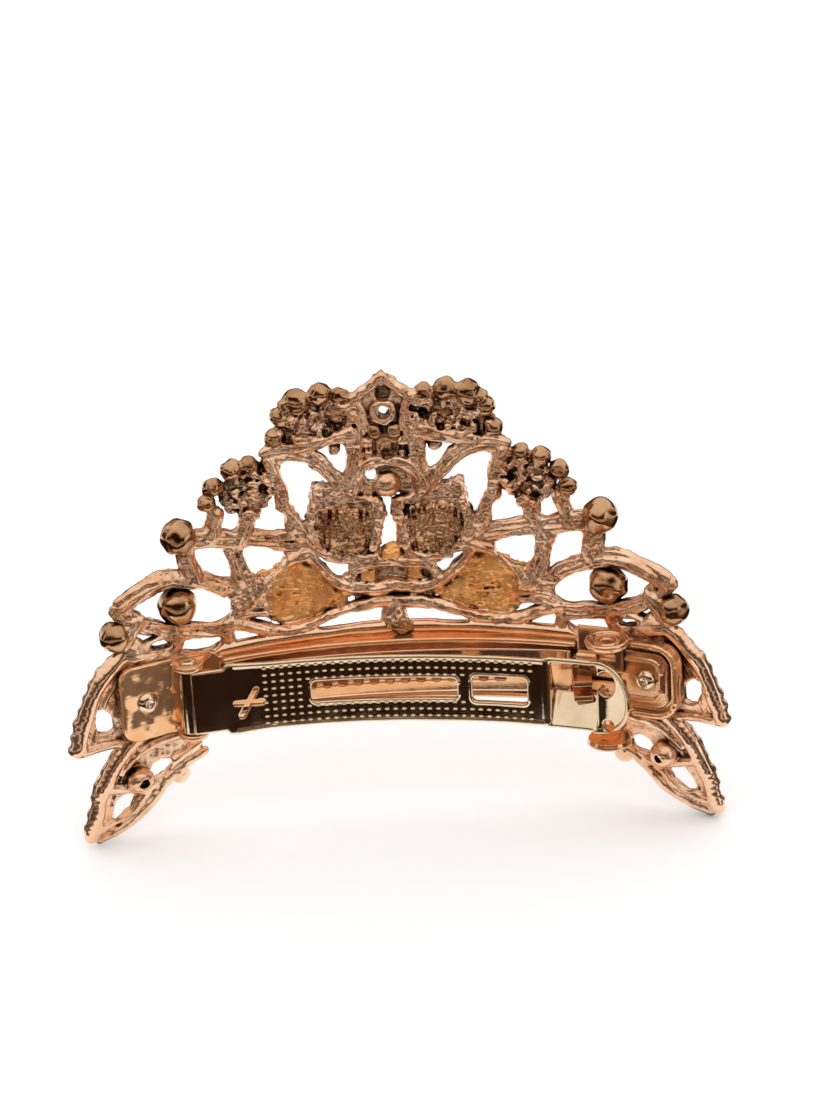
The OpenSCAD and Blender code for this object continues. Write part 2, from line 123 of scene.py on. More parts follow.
class Volume:
    """A block of signed distances that shapes are smoothly added to and cut from."""

    def __init__(self, lo, hi, step):
        self.lo, self.step = np.array(lo, float), step * 1
        self.n = np.ceil((np.array(hi) - self.lo) / self.step).astype(int) + 1
        self.f = np.full(self.n, 3.0, np.float32)
        self.best = self.f.copy()
        self.own = np.zeros(self.n, np.int16)
        self.along = np.full(self.n, np.nan, np.float32)
        self.across = self.along.copy()
        self.paths = 0

    def region(self, lo, hi, margin=0.9):
        """The cells of a box with a margin, and their places."""
        a = np.clip(((np.array(lo) - margin - self.lo) / self.step).astype(int), 0, self.n)
        b = np.clip(((np.array(hi) + margin - self.lo) / self.step).astype(int) + 1, 0, self.n)
        axes = [(self.lo[i] + self.step * np.arange(a[i], b[i])).astype(np.float32)
                for i in range(3)]
        return tuple(map(slice, a, b)), np.ix_(*axes)

    def add(self, shape, lo, hi, k=0.3, label=0):
        """Adds a shape; one that also gives places along and across itself keeps them."""
        where, grid = self.region(lo, hi)
        if 0 in self.f[where].shape:
            return
        d = shape(*grid)
        d, *grain = d if isinstance(d, tuple) else (d, np.nan, np.nan)
        d = np.broadcast_to(d, self.f[where].shape).astype(np.float32)
        self.f[where] = blended(self.f[where], d, k)
        nearer = d < self.best[where]
        for mine, new in zip((self.best, self.own, self.along, self.across), (d, label, *grain)):
            mine[where] = np.where(nearer, new, mine[where])

    def cut(self, shape, lo, hi, k=0.15):
        where, grid = self.region(lo, hi)
        if 0 not in self.f[where].shape:
            self.f[where] = -blended(-self.f[where], shape(*grid).astype(np.float32), k)

    def cut_ball(self, c, r, k=0.15, flat=1.0):
        reach = r * max(1, flat)
        self.cut(ball(c, r, flat), np.array(c) - reach, np.array(c) + reach, k)

    def near(self, reach):
        """The cells near the surface, and their places."""
        cells = np.nonzero(np.abs(self.f) < reach)
        return cells, (np.stack(cells, 1) * self.step + self.lo).astype(np.float32)

    def skin(self):
        """The surface as points, four-sided faces and one label a face."""
        f, n = self.f, self.n
        inside = f < 0
        corners = list(np.ndindex(2, 2, 2))
        count = sum(inside[i:n[0] - 1 + i, j:n[1] - 1 + j, k:n[2] - 1 + k].astype(np.int8)
                    for i, j, k in corners)
        cell = np.stack(np.nonzero((count > 0) & (count < 8)), 1)
        index = np.full(n - 1, -1, np.int32)
        index[tuple(cell.T)] = np.arange(len(cell))
        total, hits = np.zeros((len(cell), 3)), np.zeros(len(cell))
        for axis in range(3):
            for corner in corners:
                if corner[axis]:
                    continue
                other = np.array(corner)
                other[axis] = 1
                va, vb = (f[tuple((cell + c).T)] for c in (corner, other))
                cross = (va < 0) != (vb < 0)
                p = np.tile(np.array(corner, float), (len(cell), 1))
                p[:, axis] = np.where(cross, va / np.where(cross, va - vb, 1), 0)
                total += p * cross[:, None]
                hits += cross
        points = (cell + total / hits[:, None]) * self.step + self.lo
        faces = []
        for axis in range(3):
            lo = [slice(1, n[a] - 1) for a in range(3)]
            hi = list(lo)
            lo[axis], hi[axis] = slice(0, n[axis] - 1), slice(1, n[axis])
            here = inside[tuple(lo)]
            e = np.stack(np.nonzero(here != inside[tuple(hi)]), 1)
            keep = here[tuple(e.T)] ^ (axis == 1)
            sides = [a for a in range(3) if a != axis]
            e[:, sides] += 1
            quad = np.tile(e, (4, 1, 1))
            for four, step in zip(quad, ((-1, -1), (0, -1), (0, 0), (-1, 0))):
                four[:, sides] += step
            quad = index[tuple(quad.transpose(2, 1, 0))]
            quad[~keep] = quad[~keep][:, ::-1]
            faces.append(quad)
        faces = np.concatenate(faces)
        return points, faces, self.own[tuple(cell[faces[:, 0]].T)]

    def smooth(self, rounds):
        """The surface, evened out."""
        points, faces, _ = self.skin()
        return relax(points, faces, rounds), faces


def relax(points, faces, rounds=2, amount=0.5):
    """Evens out a surface without shrinking it."""
    n = len(points)
    edges = np.concatenate([faces[:, [i, (i + 1) % 4]] for i in range(4)])
    degree = np.bincount(edges.ravel(), minlength=n)[:, None]
    p = points.copy()
    for i in range(rounds * 2):
        step = amount if i % 2 == 0 else -amount * 1.04
        near = np.stack([np.bincount(edges[:, 0], p[edges[:, 1], a], n)
                         + np.bincount(edges[:, 1], p[edges[:, 0], a], n)
                         for a in range(3)], 1)
        p += step * (near / np.maximum(degree, 1) - p)
    return p


def outward(points, faces):
    """The faces, turned over if together they face inward."""
    first, *rest = points[faces.T]
    size = sum((first * np.cross(a, b)).sum() for a, b in zip(rest, rest[1:]))
    return faces if size > 0 else faces[:, ::-1]


def normals_of(points, faces):
    a = points[faces[:, 2]] - points[faces[:, 0]]
    b = points[faces[:, 3]] - points[faces[:, 1]]
    each = np.cross(a, b)
    out = np.stack([sum(np.bincount(faces[:, c], each[:, k], len(points)) for c in range(4))
                    for k in range(3)], 1)
    return out / np.maximum(np.linalg.norm(out, axis=1), 1e-12)[:, None]


# ---- shapes
def rod(a, b, ra, rb, flat=1.0, start=None):
    """A rod between two points; flat < 1 makes it thinner through its third axis.

    With a start it also gives each spot's place along and across the rod."""
    a, b = np.array(a, float), np.array(b, float)
    d = b - a
    size = max(float(d @ d), 1e-9)
    way = d[:2] / max(float(np.hypot(*d[:2])), 1e-9)

    def shape(x, z, y):
        px, pz, py = x - a[0], z - a[1], y - a[2]
        t = np.clip((px * d[0] + pz * d[1] + py * d[2]) / size, 0, 1)
        q = np.sqrt((px - t * d[0])**2 + (pz - t * d[1])**2 + ((py - t * d[2]) / flat)**2)
        q = (q - (ra + (rb - ra) * t)) * (0.5 + 0.5 * flat)
        if start is None:
            return q
        return q, start + px * way[0] + pz * way[1] + 0 * py, pz * way[0] - px * way[1] + 0 * py
    return shape


def outline_distance(poly, x, z):
    """Signed distance to a closed outline in the first two axes."""
    best = np.full(np.broadcast(x, z).shape, 1e9, np.float32)
    odd = np.zeros(best.shape, bool)
    for a, b in zip(poly, np.roll(poly, -1, 0)):
        e = b - a
        t = np.clip(((x - a[0]) * e[0] + (z - a[1]) * e[1]) / max(float(e @ e), 1e-9), 0, 1)
        best = np.minimum(best, (x - a[0] - t * e[0])**2 + (z - a[1] - t * e[1])**2)
        crosses = (a[1] > z) != (b[1] > z)
        at = a[0] + (z - a[1]) * e[0] / (e[1] if abs(e[1]) > 1e-9 else 1e-9)
        odd ^= crosses & (x < at)
    return np.where(odd, -1, 1) * np.sqrt(best)


def rounded(a, b, edge):
    """Where two distances are both negative, with a rounded edge."""
    a, b = a + edge, b + edge
    return np.sqrt(np.maximum(a, 0)**2 + np.maximum(b, 0)**2) + np.minimum(
        np.maximum(a, b), 0) - edge


def meet(*parts):
    """Where all the distances are negative."""
    return np.maximum.reduce(np.broadcast_arrays(*parts))


def plate(poly, low, high, edge=0.5):
    """A flat outline with thickness along the third axis, rounded at its edge."""
    poly = np.array(poly, float)
    mid, half_ = (low + high) / 2, (high - low) / 2

    def shape(x, z, y):
        return rounded(outline_distance(poly, x, z), np.abs(y - mid) - half_, edge)
    return shape


def ball(c, r, flat=1.0):
    def shape(x, z, y):
        return (np.sqrt((x - c[0])**2 + (z - c[1])**2 + ((y - c[2]) / flat)**2) - r) * min(
            1, 0.4 + 0.6 * flat)
    return shape


def drum(axis, c, r, mid=0.0, reach=99.0):
    """A round disc or bore whose turning axis is one of the three."""
    def shape(*p):
        u, w = (p[i] for i in range(3) if i != axis)
        return meet(np.hypot(u - c[0], w - c[1]) - r, np.abs(p[axis] - mid) - reach)
    return shape


def hoop(c, ring, mid, r):
    """A round wire ring about the second axis."""
    return lambda x, z, y: np.hypot(np.hypot(x - c[0], y - c[1]) - ring, z - mid) - r


def add_rod_path(v, path, r0, r1, depth, label=0, flat=1.0, k=0.3):
    """Rods from point to point of a path, melted together."""
    v.paths += 1
    start = 37.0 * v.paths
    route = np.column_stack([path, np.broadcast_to(depth, len(path))])
    sizes = np.linspace(r0, r1, len(path))
    for i, (a, b, ra, rb) in enumerate(zip(route, route[1:], sizes, sizes[1:])):
        r = max(ra, rb)
        v.add(rod(a, b, ra, rb, flat, start), np.minimum(a, b) - r, np.maximum(a, b) + r,
              k if i in (0, len(path) - 2) else 0.12, label)
        start += float(np.hypot(*(b - a)[:2]))


def add_plate(v, poly, low, high, edge=0.5, k=0.3, label=0):
    poly = np.array(poly, float)
    v.add(plate(poly, low, high, edge), [*poly.min(0), low - 0.6], [*poly.max(0), high + 0.6], k,
          label)


def cut_plate(v, poly, low, high, edge=0.2, k=0.2):
    poly = np.array(poly, float)
    v.cut(plate(poly, low, high, edge), [*poly.min(0), low], [*poly.max(0), high], k)


def add_ball(v, c, r, label=0, flat=1.0, k=0.3):
    v.add(ball(c, r, flat), np.array(c) - r, np.array(c) + r, k, label)


def add_box(v, lo, hi, edge=0.15, k=0.12):
    lo, hi = np.array(lo, float), np.array(hi, float)
    mid, half_ = (lo + hi) / 2, (hi - lo) / 2 - edge

    def shape(*place):
        q = [np.abs(p - m) - h for p, m, h in zip(place, mid, half_)]
        return np.sqrt(sum(np.maximum(p, 0)**2 for p in q)) + np.minimum(meet(*q), 0) - edge
    v.add(shape, lo, hi, k)


def waves(p, seed, scale, count):
    """Smooth made-up roughness: a sum of waves; scale is the length of a wave on each axis."""
    draw = np.random.default_rng(seed)
    out = np.zeros(len(p), np.float32)
    for _ in range(count):
        way = draw.normal(size=3)
        way /= np.linalg.norm(way)
        rate = 2 * math.pi * draw.uniform(0.5, 1.5)
        k = (way / np.array(scale) * rate).astype(np.float32)
        out += np.sin(p @ k + np.float32(draw.uniform(0, 6.28)))
    return out / math.sqrt(count / 2)


# ---- materials
def new_material(name):
    """An empty material, and a function that adds a node with its inputs set or linked."""
    m = bpy.data.materials.new(name)
    m.use_nodes = True
    tree = m.node_tree
    tree.nodes.clear()

    def node(kind, inputs):
        made = tree.nodes.new("ShaderNode" + kind)
        if kind == "Mix":
            made.data_type = "RGBA"
        for key, value in inputs.items():
            if isinstance(value, bpy.types.NodeSocket):
                tree.links.new(value, made.inputs[key])
            else:
                made.inputs[key].default_value = value
        return made
    return m, node


def ramp(node, value, stops):
    """Colours along a value, each at its place."""
    made = node("ValToRGB", {"Fac": value})
    elements = made.color_ramp.elements
    for i in (0, -1):
        elements[i].position = stops[i][0]
        elements[i].color = (*stops[i][1], 1)
    for place, colour in stops[1:-1]:
        elements.new(place).color = (*colour, 1)
    return made.outputs[0]


def metal(name, light, deep, rough, grain, scratch, metallic=1.0, fine=1800.0,
          painted_hollow_shade=False):
    """Plated metal: cloudy tint and sheen, cast grain, fine scratches, and painted shade that darkens
    the base colour in the hollows.
    """
    m, node = new_material(name)
    place = node("TexCoord", {}).outputs["Object"]
    stretched = node("Mapping", {"Vector": place, "Scale": (0.12, 1.0, 2.4)}).outputs[0]

    def noise(scale, detail, roughness, vector=place):
        return node("TexNoise", {"Vector": vector, "Scale": scale, "Detail": detail,
                                           "Roughness": roughness}).outputs["Fac"]

    tint = ramp(node, noise(260, 5, 0.6), [(0.3, deep), (0.62, light)])
    # painted shade: where ambient occlusion finds the metal hemmed in, the base colour is mixed toward
    # near-black
    if painted_hollow_shade:
        open_ = node("AmbientOcclusion", {"Distance": 0.0016})
        open_.samples = 6
        share = ramp(node, open_.outputs["AO"], [(0.45, (0, 0, 0)), (0.82, (1, 1, 1))])
        tint = node("Mix", {"A": (0.045, 0.02, 0.009, 1), "B": tint,
                                      "Factor": share}).outputs["Result"]
    sheen = ramp(node, noise(420, 6, 0.65), [(0.3, (rough[0],) * 3), (0.75, (rough[1],) * 3)])
    cast = node("Bump", {"Strength": grain, "Distance": 0.00025,
                                   "Height": noise(fine, 5, 0.6)})
    worn = node("Bump", {"Strength": scratch, "Distance": 0.00012,
                                   "Height": noise(900, 3, 0.5, stretched),
                                   "Normal": cast.outputs[0]})
    shader = node("BsdfPrincipled", {"Metallic": metallic, "Base Color": tint,
                                               "Roughness": sheen, "Normal": worn.outputs[0]})
    node("OutputMaterial", {"Surface": shader.outputs[0]})
    return m


def plain(name, colour, values):
    """A material whose shader has set values only."""
    m, node = new_material(name)
    shader = node("BsdfPrincipled", {"Base Color": (*colour, 1), **values})
    node("OutputMaterial", {"Surface": shader.outputs[0]})
    return m


METALS = {
    "cast": metal("rose_gold_cast", (1.0, 0.7, 0.48), (0.78, 0.38, 0.18), (0.06, 0.2), 0.3, 0.15,
                  0.95, painted_hollow_shade=True),
    # a darker copy of the rose gold: painted shade on the petal bowls, and the own dark tone of the
    # tip stones and the solder joint
    "shade": metal("rose_gold_dark_and_painted_shade", (0.84, 0.52, 0.29), (0.3, 0.13, 0.05), (0.08, 0.26), 0.3,
                   0.15, painted_hollow_shade=True),
    "smooth": metal("rose_gold_polished", (0.96, 0.66, 0.45), (0.9, 0.54, 0.33), (0.07, 0.16), 0.05,
                    0.08, 0.95),
    "satin": metal("rose_gold_satin", (1.0, 0.54, 0.2), (0.8, 0.3, 0.08), (0.08, 0.24), 1.0, 0.12,
                   0.78, 800, painted_hollow_shade=True),
    "bead": metal("bead_gold", (0.66, 0.4, 0.22), (0.38, 0.2, 0.09), (0.05, 0.2), 0.12, 0.1,
                  painted_hollow_shade=True)}
PRESSED = metal("rose_gold_pressed", (0.93, 0.56, 0.32), (0.8, 0.42, 0.2), (0.08, 0.18), 0.06, 0.08,
                0.95, painted_hollow_shade=True)
INNER = metal("rose_gold_inner", (0.96, 0.57, 0.31), (0.88, 0.46, 0.22), (0.07, 0.16), 0.05, 0.1,
              0.85)
CLIP = metal("clip_plating", (0.9, 0.74, 0.52), (0.8, 0.62, 0.4), (0.06, 0.15), 0.03, 0.06)
CRYSTAL = {"Roughness": 0.03, "IOR": 1.62, "Transmission Weight": 0.85}
GEM = plain("crystal", (0.95, 0.93, 0.97), CRYSTAL)
GEM_GREEN = plain("crystal_green", (0.72, 0.78, 0.42), CRYSTAL)


# ---- pieces
def placed(name, data):
    """A new object in the scene."""
    o = bpy.data.objects.new(name, data)
    bpy.context.scene.collection.objects.link(o)
    return o


def piece(name, points, faces, material, node, body=ROOT, normals=None,
          smooth=True):
    """One piece of the barrette, drawn for a CAD node and riding on a body."""
    mesh = bpy.data.meshes.new(name)
    if normals is None:
        faces = outward(points, faces)
    mesh.vertices.add(len(points))
    mesh.vertices.foreach_set("co", (points * MM).astype(np.float32).ravel())
    mesh.loops.add(faces.size)
    mesh.loops.foreach_set("vertex_index", faces.astype(np.int32).ravel())
    mesh.polygons.add(len(faces))
    mesh.polygons.foreach_set("loop_start",
                              np.arange(len(faces), dtype=np.int32) * faces.shape[1])
    mesh.polygons.foreach_set("use_smooth", np.full(len(faces), smooth))
    mesh.update(calc_edges=True)
    mesh.validate()
    if normals is not None:
        mesh.normals_split_custom_set_from_vertices(normals)
    o = placed(name, mesh)
    mesh.materials.append(material)
    if body:
        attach(o, body)
    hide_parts(node)
    return o


def part_of(points, faces, normals, chosen):
    """The chosen faces with only the points and normals they use."""
    used, again = np.unique(faces[chosen], return_inverse=True)
    return points[used], again.reshape(-1, faces.shape[1]), normals[used]


def bent_out(p):
    """Flat x, z, depth to the curved ornament."""
    x = np.clip(p[:, 0] / PLATE_R, -0.99, 0.99)
    r = PLATE_R + p[:, 2]
    return np.stack([r * x, r * np.sqrt(1 - x * x) - PLATE_R, p[:, 1]], 1)


def bent_arm(p, radius=ARM_R, cy=ARM_CY):
    """Length, z, depth towards the hair to the bowed arm."""
    a = p[:, 0] / radius
    r = radius - p[:, 2]
    return np.stack([r * np.sin(a), cy + r * np.cos(a), p[:, 1]], 1)


# ---- openwork
# each kind of surface: its metal and its roughness in mm, as slow swell, lumps, lines along the
# metal and fine pits
KINDS = {
    "bottom_rail": ("smooth", 0.02, 0, 0.006, 0),
    "crown_tip": ("cast", 0.06, 0.04, 0.015, 0),
    "tip_stones": ("shade", 0.02, 0.02, 0, 0),
    "wing_leaf": ("cast", 0.1, 0.04, 0.05, 0.015),
    "wing_satin": ("satin", 0.12, 0.1, 0, 0.05),
    "pointed_frame": ("cast", 0.1, 0.03, 0.055, 0.01),
    "upper_leaf": ("cast", 0.07, 0.02, 0.03, 0),
    "upper_rim": ("smooth", 0.05, 0.01, 0.012, 0),
    "lower_leaf": ("cast", 0.07, 0.03, 0.03, 0),
    "lower_rim": ("smooth", 0.05, 0.01, 0.015, 0),
    "side_scroll": ("cast", 0.1, 0.03, 0.055, 0.01),
    "crest_arch": ("cast", 0.1, 0.035, 0.06, 0.015),
    "petal_cup": ("cast", 0.12, 0.08, 0.03, 0.03),
    # the petal bowls' darker metal is painted shade
    "petal_bowl": ("shade", 0.04, 0.05, 0.1, 0.05),
    "crest_plate": ("cast", 0.12, 0.14, 0, 0.05),
    "side_plate": ("cast", 0.12, 0.14, 0, 0.05),
    "crest_beads": ("bead", 0.08, 0.06, 0, 0),
    "side_beads": ("bead", 0.08, 0.06, 0, 0),
    "centre_cup": ("cast", 0.05, 0.02, 0, 0),
    "solder_joint": ("shade", 0.1, 0.08, 0, 0.03)}
# second kinds of surface on one CAD node
SECOND = {"tip_stones": "crown_tip", "wing_satin": "wing_leaf", "upper_rim": "upper_leaf",
          "lower_rim": "lower_leaf", "petal_bowl": "petal_cup"}
L = {n: i + 1 for i, n in enumerate(KINDS)}      # the label of each kind
MIDDLE = {"bottom_rail", "crown_tip", "centre_cup", "solder_joint"}
STOUT = 1.42            # how much stouter the strands are than the CAD ribbons' half width
STEP = 0.18             # cell size of the openwork
half = Volume([0, -22.6, -3.2], [48.6, 47.2, 4.6], STEP)
rng = np.random.default_rng(11)


def strand(points, r0, r1, label, depth=0.8, n=4, k=0.3):
    """One rounded rod of the casting."""
    add_rod_path(half, spline(points, n), r0 * STOUT, r1 * STOUT, depth, L[label], k=k)


def strands(label, *rows):
    """Rods of one kind, each a route, its two end sizes and its depth where it isn't usual."""
    for points, r0, r1, *depth in rows:
        strand(points, r0, r1, label, *depth)


def double(points, off, r, depth, label):
    """Two rods side by side along one curve."""
    path = spline(points, 4)
    for s in (-off * STOUT, off * STOUT):
        add_rod_path(half, shifted(path, s), r * STOUT, r * STOUT, depth, L[label], k=0.15)


def leaf_plate(poly, low, high, label, edge=0.45):
    """A flat part of the casting."""
    add_plate(half, poly, low, high, edge, label=L[label])


def lump(x, z, r, label, depth=0.6, flat=1.0, k=0.15):
    """One rounded grain of the casting."""
    add_ball(half, [x, z, depth], r, L[label], flat, k)


def lumps(poly, count, label, r=(0.4, 0.8)):
    """Grainy cast lumps over the back of a plate."""
    poly = np.array(poly, float)
    lo, hi = poly.min(0), poly.max(0)
    made = 0
    while made < count:
        c = rng.uniform(lo, hi)
        if outline_distance(poly, np.array(c[0]), np.array(c[1])) < -0.3:
            lump(c[0], c[1], rng.uniform(*r), label, rng.uniform(0.0, 0.4), k=0.25)
            made += 1


def windows(*outlines, volume=half):
    """Openings right through the casting."""
    for points in outlines:
        cut_plate(volume, spline(points, 4, True), -3.4, 4.8, 0.2, 0.45)


# end leaves: plates with a broad rounded rim and fanned lines
UPPER = spline([
    [37.6, 8.8], [41, 6.3], [43, 4.1], [44.4, 1.4], [45.6, -1.8], [46.2, -5.2], [44.6, -5.9],
    [42, -5.6], [39.4, -6], [36.6, -3], [34.4, 2], [34.8, 6.4]], 4, True)
LOWER = spline([
    [33.6, -5.6], [37.6, -4.6], [41, -7.4], [43.2, -10.8], [44.8, -14.8], [45.4, -19.8], [43, -19.9],
    [39.8, -18.4], [37, -16.2], [34.4, -13.2], [30.6, -11.2], [29.2, -10], [31, -8]], 4, True)
leaf_plate(UPPER, 0.7, 1.8, "upper_leaf")
leaf_plate(LOWER, 0.7, 1.8, "lower_leaf")
UPPER_RIM = [[37, 8.6], [39.5, 6.8], [41.5, 4.8], [43.1, 2.4], [44.2, -0.1], [45.1, -2.9],
             [45.8, -5.4]]
LOWER_RIM = [[37.8, -5.6], [40.2, -7.9], [42, -10.6], [43.4, -13.5], [44.4, -16.6], [45.1, -19.6]]
strand(UPPER_RIM, 0.86, 0.66, "upper_rim", 0.75)
strand(LOWER_RIM, 0.86, 0.66, "lower_rim", 0.75)
for rim, label in ((UPPER_RIM, "upper_leaf"), (LOWER_RIM, "lower_leaf")):
    path = spline(rim, 6)
    for off, r in ((-1.25, 0.42), (-2.0, 0.36)):
        add_rod_path(half, shifted(path, off)[5:-3], r, r * 0.7, 0.75, L[label], k=0.2)
    for c in shifted(path, 0.35)[3::4]:
        lump(c[0], c[1], 0.75, label, 1.2, k=0.3)
strands("upper_leaf",
    ([[36.4, 8.2], [38.3, 4.6], [38.9, 0.6], [38.9, -5]], 0.7, 0.55, 0.5),
    ([[34.6, 6.6], [36.8, 5.2], [38.6, 2.4]], 0.75, 0.6, 0.5),
    ([[45.6, -5.7], [42.4, -5.7], [39.4, -6.1]], 0.5, 0.6, 0.8),
    ([[33.6, 8.2], [35.6, 7.4], [37.4, 7.6]], 0.9, 1.3, 0.7))
strand([[31, -6.6], [34.4, -7.2], [37.8, -8.2], [40.4, -10.6]], 0.6, 0.5, "lower_leaf", 0.5)
double([[29.2, -9.8], [32, -11.2], [34.6, -13], [37.2, -15.8], [40, -18.1], [44.4, -19.6]], 0.5, 0.55,
    0.7, "lower_leaf")
strands("lower_leaf",
    ([[42.4, -12.6], [39.8, -13.4], [37.4, -14.2], [36, -13.6]], 0.6, 0.6, 0.6),
    ([[38.3, -12.1], [38.35, -12.15]], 1.25, 1.25, [-0.5, -0.5, -0.5, 1, 1]),
    ([[32.6, -13], [32.2, -13.9]], 1.0, 0.9, 1.4))
windows(
    [[40.8, -3.6], [40.9, -1.6], [41.8, -0.3], [42.9, -0.2], [43.1, -1.6], [42.3, -3.6]],
    [[42.2, -17.3], [41.8, -15.6], [40.5, -14.3], [38.9, -14.9], [39.5, -16.6], [41, -17.8]],
    [[36.6, -13.2], [36.1, -11.3], [34.8, -10.3], [33.5, -10.9], [34, -12.2], [35.4, -13]])
half.cut_ball([38.3, -12.1, -1.6], 0.8)

# pointed frames
FRAME = [[38.2, 14.7], [34.9, 16.6], [31.6, 17.3], [28, 16.3], [24.4, 14.5], [22.3, 12],
         [22.6, 9.7], [25.4, 8.5], [28.6, 8.8], [32, 9.7], [35, 11.2], [37.4, 13.2], [38.6, 14.7]]
double(FRAME, 0.48, 0.62, 0.8, "pointed_frame")
strands("pointed_frame",
    (FRAME[:5], 0.5, 0.5, 0.2),
    ([[37.6, 14.6], [39.4, 14.8]], 0.8, 0.4),
    ([[36.4, 12.4], [37.6, 11], [38.6, 9.6]], 0.9, 1.1))
strand([[29, 22], [28.8, 19.8], [28.4, 17.4]], 1.0, 1.0, "side_scroll")
strands("upper_leaf",
    ([[31.6, 9.4], [31.2, 7.6], [32.2, 6.4]], 0.7, 0.8),
    ([[24.4, 7.6], [24.2, 6], [26, 4.9], [30, 4.8], [33.6, 6.2]], 0.8, 0.9))

# wing leaves: a satin dish in a rope border
WING = spline([
    [6.6, 9.6], [8.8, 13.6], [11.8, 16.4], [15.4, 17], [19.2, 15], [20.6, 11.6], [18.4, 8.4],
    [14.8, 6.5], [10.6, 7.2]], 5, True)
leaf_plate(WING, 0.6, 2.6, "wing_satin")
half.cut_ball([13.4, 11.8, -2.6], 5.4, 0.5, 0.72)
for t in np.linspace(0.1, 0.9, 7):
    strand([between([20, 9], [17.6, 15.6], t), between([15.6, 8.6], [14, 14.8], t),
            between([9, 9.4], [9.6, 13], t)], 0.3, 0.22, "wing_satin", [1.15] * 9, k=0.4)
strands("wing_leaf",
    ([[24, 9], [20.6, 8], [17.2, 6.8], [13.9, 6.6], [9.4, 7.9], [4.2, 9.5], [0, 9.8], [-1.5, 9.8]],
     0.8, 0.7, 0.6),
    ([[11.4, 17.8], [9.6, 15.2], [7.8, 13.4], [5.4, 12.3], [2.5, 11.9], [0, 12.4], [-1.5, 12.4]], 0.75,
     0.8, 0.5),
    ([[19.4, 12.6], [17.2, 16.2], [14.4, 17.6], [11.8, 18.6]], 0.75, 0.8, 0.6))
for z0, z1 in ((9.6, 9.6), (10.8, 11.2), (12, 12.8), (13.2, 14.2)):
    strand([[23.4, z0], [21, z0 + 0.3], [18.4, z1]], 0.6, 0.45, "wing_leaf", 0.6)
CENTRE = [[-2, 9.4], [-2, 16.4], [3.6, 15.8], [6, 14], [7.4, 12], [5.4, 10], [3, 9.2]]
leaf_plate(CENTRE, 0.7, 2.0, "wing_leaf")
strand([[-1.5, 16.2], [2.5, 15.9], [5.2, 15.4], [6.4, 13.6]], 0.8, 0.7, "wing_leaf", 0.6)
lump(3.4, 13.8, 1.4, "wing_satin", 0.9, 0.8)
lump(6.6, 11.4, 1.1, "wing_satin", 0.8, 0.8)
lump(0.4, 17.4, 1.25, "wing_satin", 0.6)
strand([[-0.4, 9.6], [0.1, 7.8], [0.3, 6.4]], 1.0, 1.25, "wing_leaf", 1.0)

# side scrolls
double([[28.8, 22.8], [25, 22.3], [21.5, 21.5], [17.4, 20.8], [13.6, 20.1], [10.6, 19.4]], 0.48, 0.64,
    0.75, "side_scroll")
double([[22.3, 21], [21.6, 17.6], [20.6, 14.8], [19.6, 12]], 0.5, 0.66, 0.75, "side_scroll")
strands("side_scroll",
    ([[25.4, 22.6], [24.8, 24.4], [24.4, 26]], 0.85, 0.85),
    ([[21.2, 21.8], [20.5, 23.6], [20.2, 25]], 0.85, 0.8),
    ([[13.8, 25.6], [13.6, 22.6], [12.6, 20.6]], 0.85, 0.95))

# crest arches
double([[17, 33.4], [14.6, 33.9], [12.2, 33.4], [9.8, 32], [8, 30.2], [6.6, 27.8]], 0.45, 0.58, 0.55,
    "crest_arch")
strand([[16.6, 32.8], [15.5, 29.4], [14.7, 25.8], [12.8, 22.2], [11.4, 20]], 0.8, 0.9, "crest_arch",
    0.6)
double([[4.3, 38.4], [4.4, 34.4], [4.7, 30.8], [5.3, 27.4]], 0.45, 0.56, 0.45, "crest_arch")
strands("crest_arch",
    ([[4.8, 36.1], [7.4, 35.7], [9.6, 35], [12.2, 34.7]], 0.9, 0.8, 0.5),
    ([[5.6, 33.8], [7.2, 33.6], [7.25, 33.6]], 0.25, 0.25, 1.4))
lump(7.1, 33.4, 0.95, "crest_arch", 1.2, k=0.1)
leaf_plate([[-2, 31.4], [2.4, 32], [4.4, 30.4], [5.8, 27.6], [3.4, 26.2], [-2, 26.4]], 0.6, 1.8,
    "crest_arch")
strand([[-1.5, 32], [2.2, 31.4], [4.2, 29.6], [5.4, 27.2]], 0.8, 0.7, "crest_arch", 0.4)
leaf_plate([[-2, 31], [-2, 37.6], [3.6, 37.6], [3.8, 34], [3, 31]], 1.0, 2.2, "crest_arch")
for x, z, r in ([2.6, 34.4, 0.9], [2.4, 32.6, 0.8], [3.2, 36.2, 0.8], [1.6, 31.6, 0.8]):
    lump(x, z, r, "crest_arch", 0.7, k=0.25)

# petal cups: a rough top edge over the striped back of a bowl
PETAL = spline([
    [1.9, 25.6], [5.4, 26.5], [8.2, 27.6], [11, 28.6], [11.2, 24.4], [11.5, 21], [10.6, 18.2],
    [8.8, 16.9], [6.6, 16.3], [2.8, 16.5], [1.7, 18.6], [1.4, 22]], 4, True)
leaf_plate(PETAL, 0.9, 3.0, "petal_bowl")
leaf_plate([[1.4, 24], [1.8, 26], [5.4, 26.8], [8.2, 28], [11.2, 28.9], [11.3, 25.2], [8.6, 23.6],
    [4.4, 24]], 0.0, 2.2, "petal_cup", 0.6)
half.add(lambda x, z, y: (np.sqrt(((x - 6.3) / 4.7)**2 + ((z - 21.4) / 4.9)**2
                                  + ((y - 1.6) / 2.6)**2) - 1) * 2.6,
         [1.6, 16.4, -1], [11, 26.4, 4.2], 0.3, L["petal_bowl"])
for x0, x1 in zip(np.linspace(2.6, 10, 8), np.linspace(3.4, 9.2, 8)):
    bulge = 1.6 - 2.5 * np.sqrt(max(0.05, 1 - ((x0 - 6.3) / 4.9)**2))
    strand([[x0, 24.4], [x0, 21.4], [x1, 18]], 0.34, 0.24, "petal_bowl",
           np.linspace(bulge + 0.3, bulge + 0.7, 9), k=0.35)
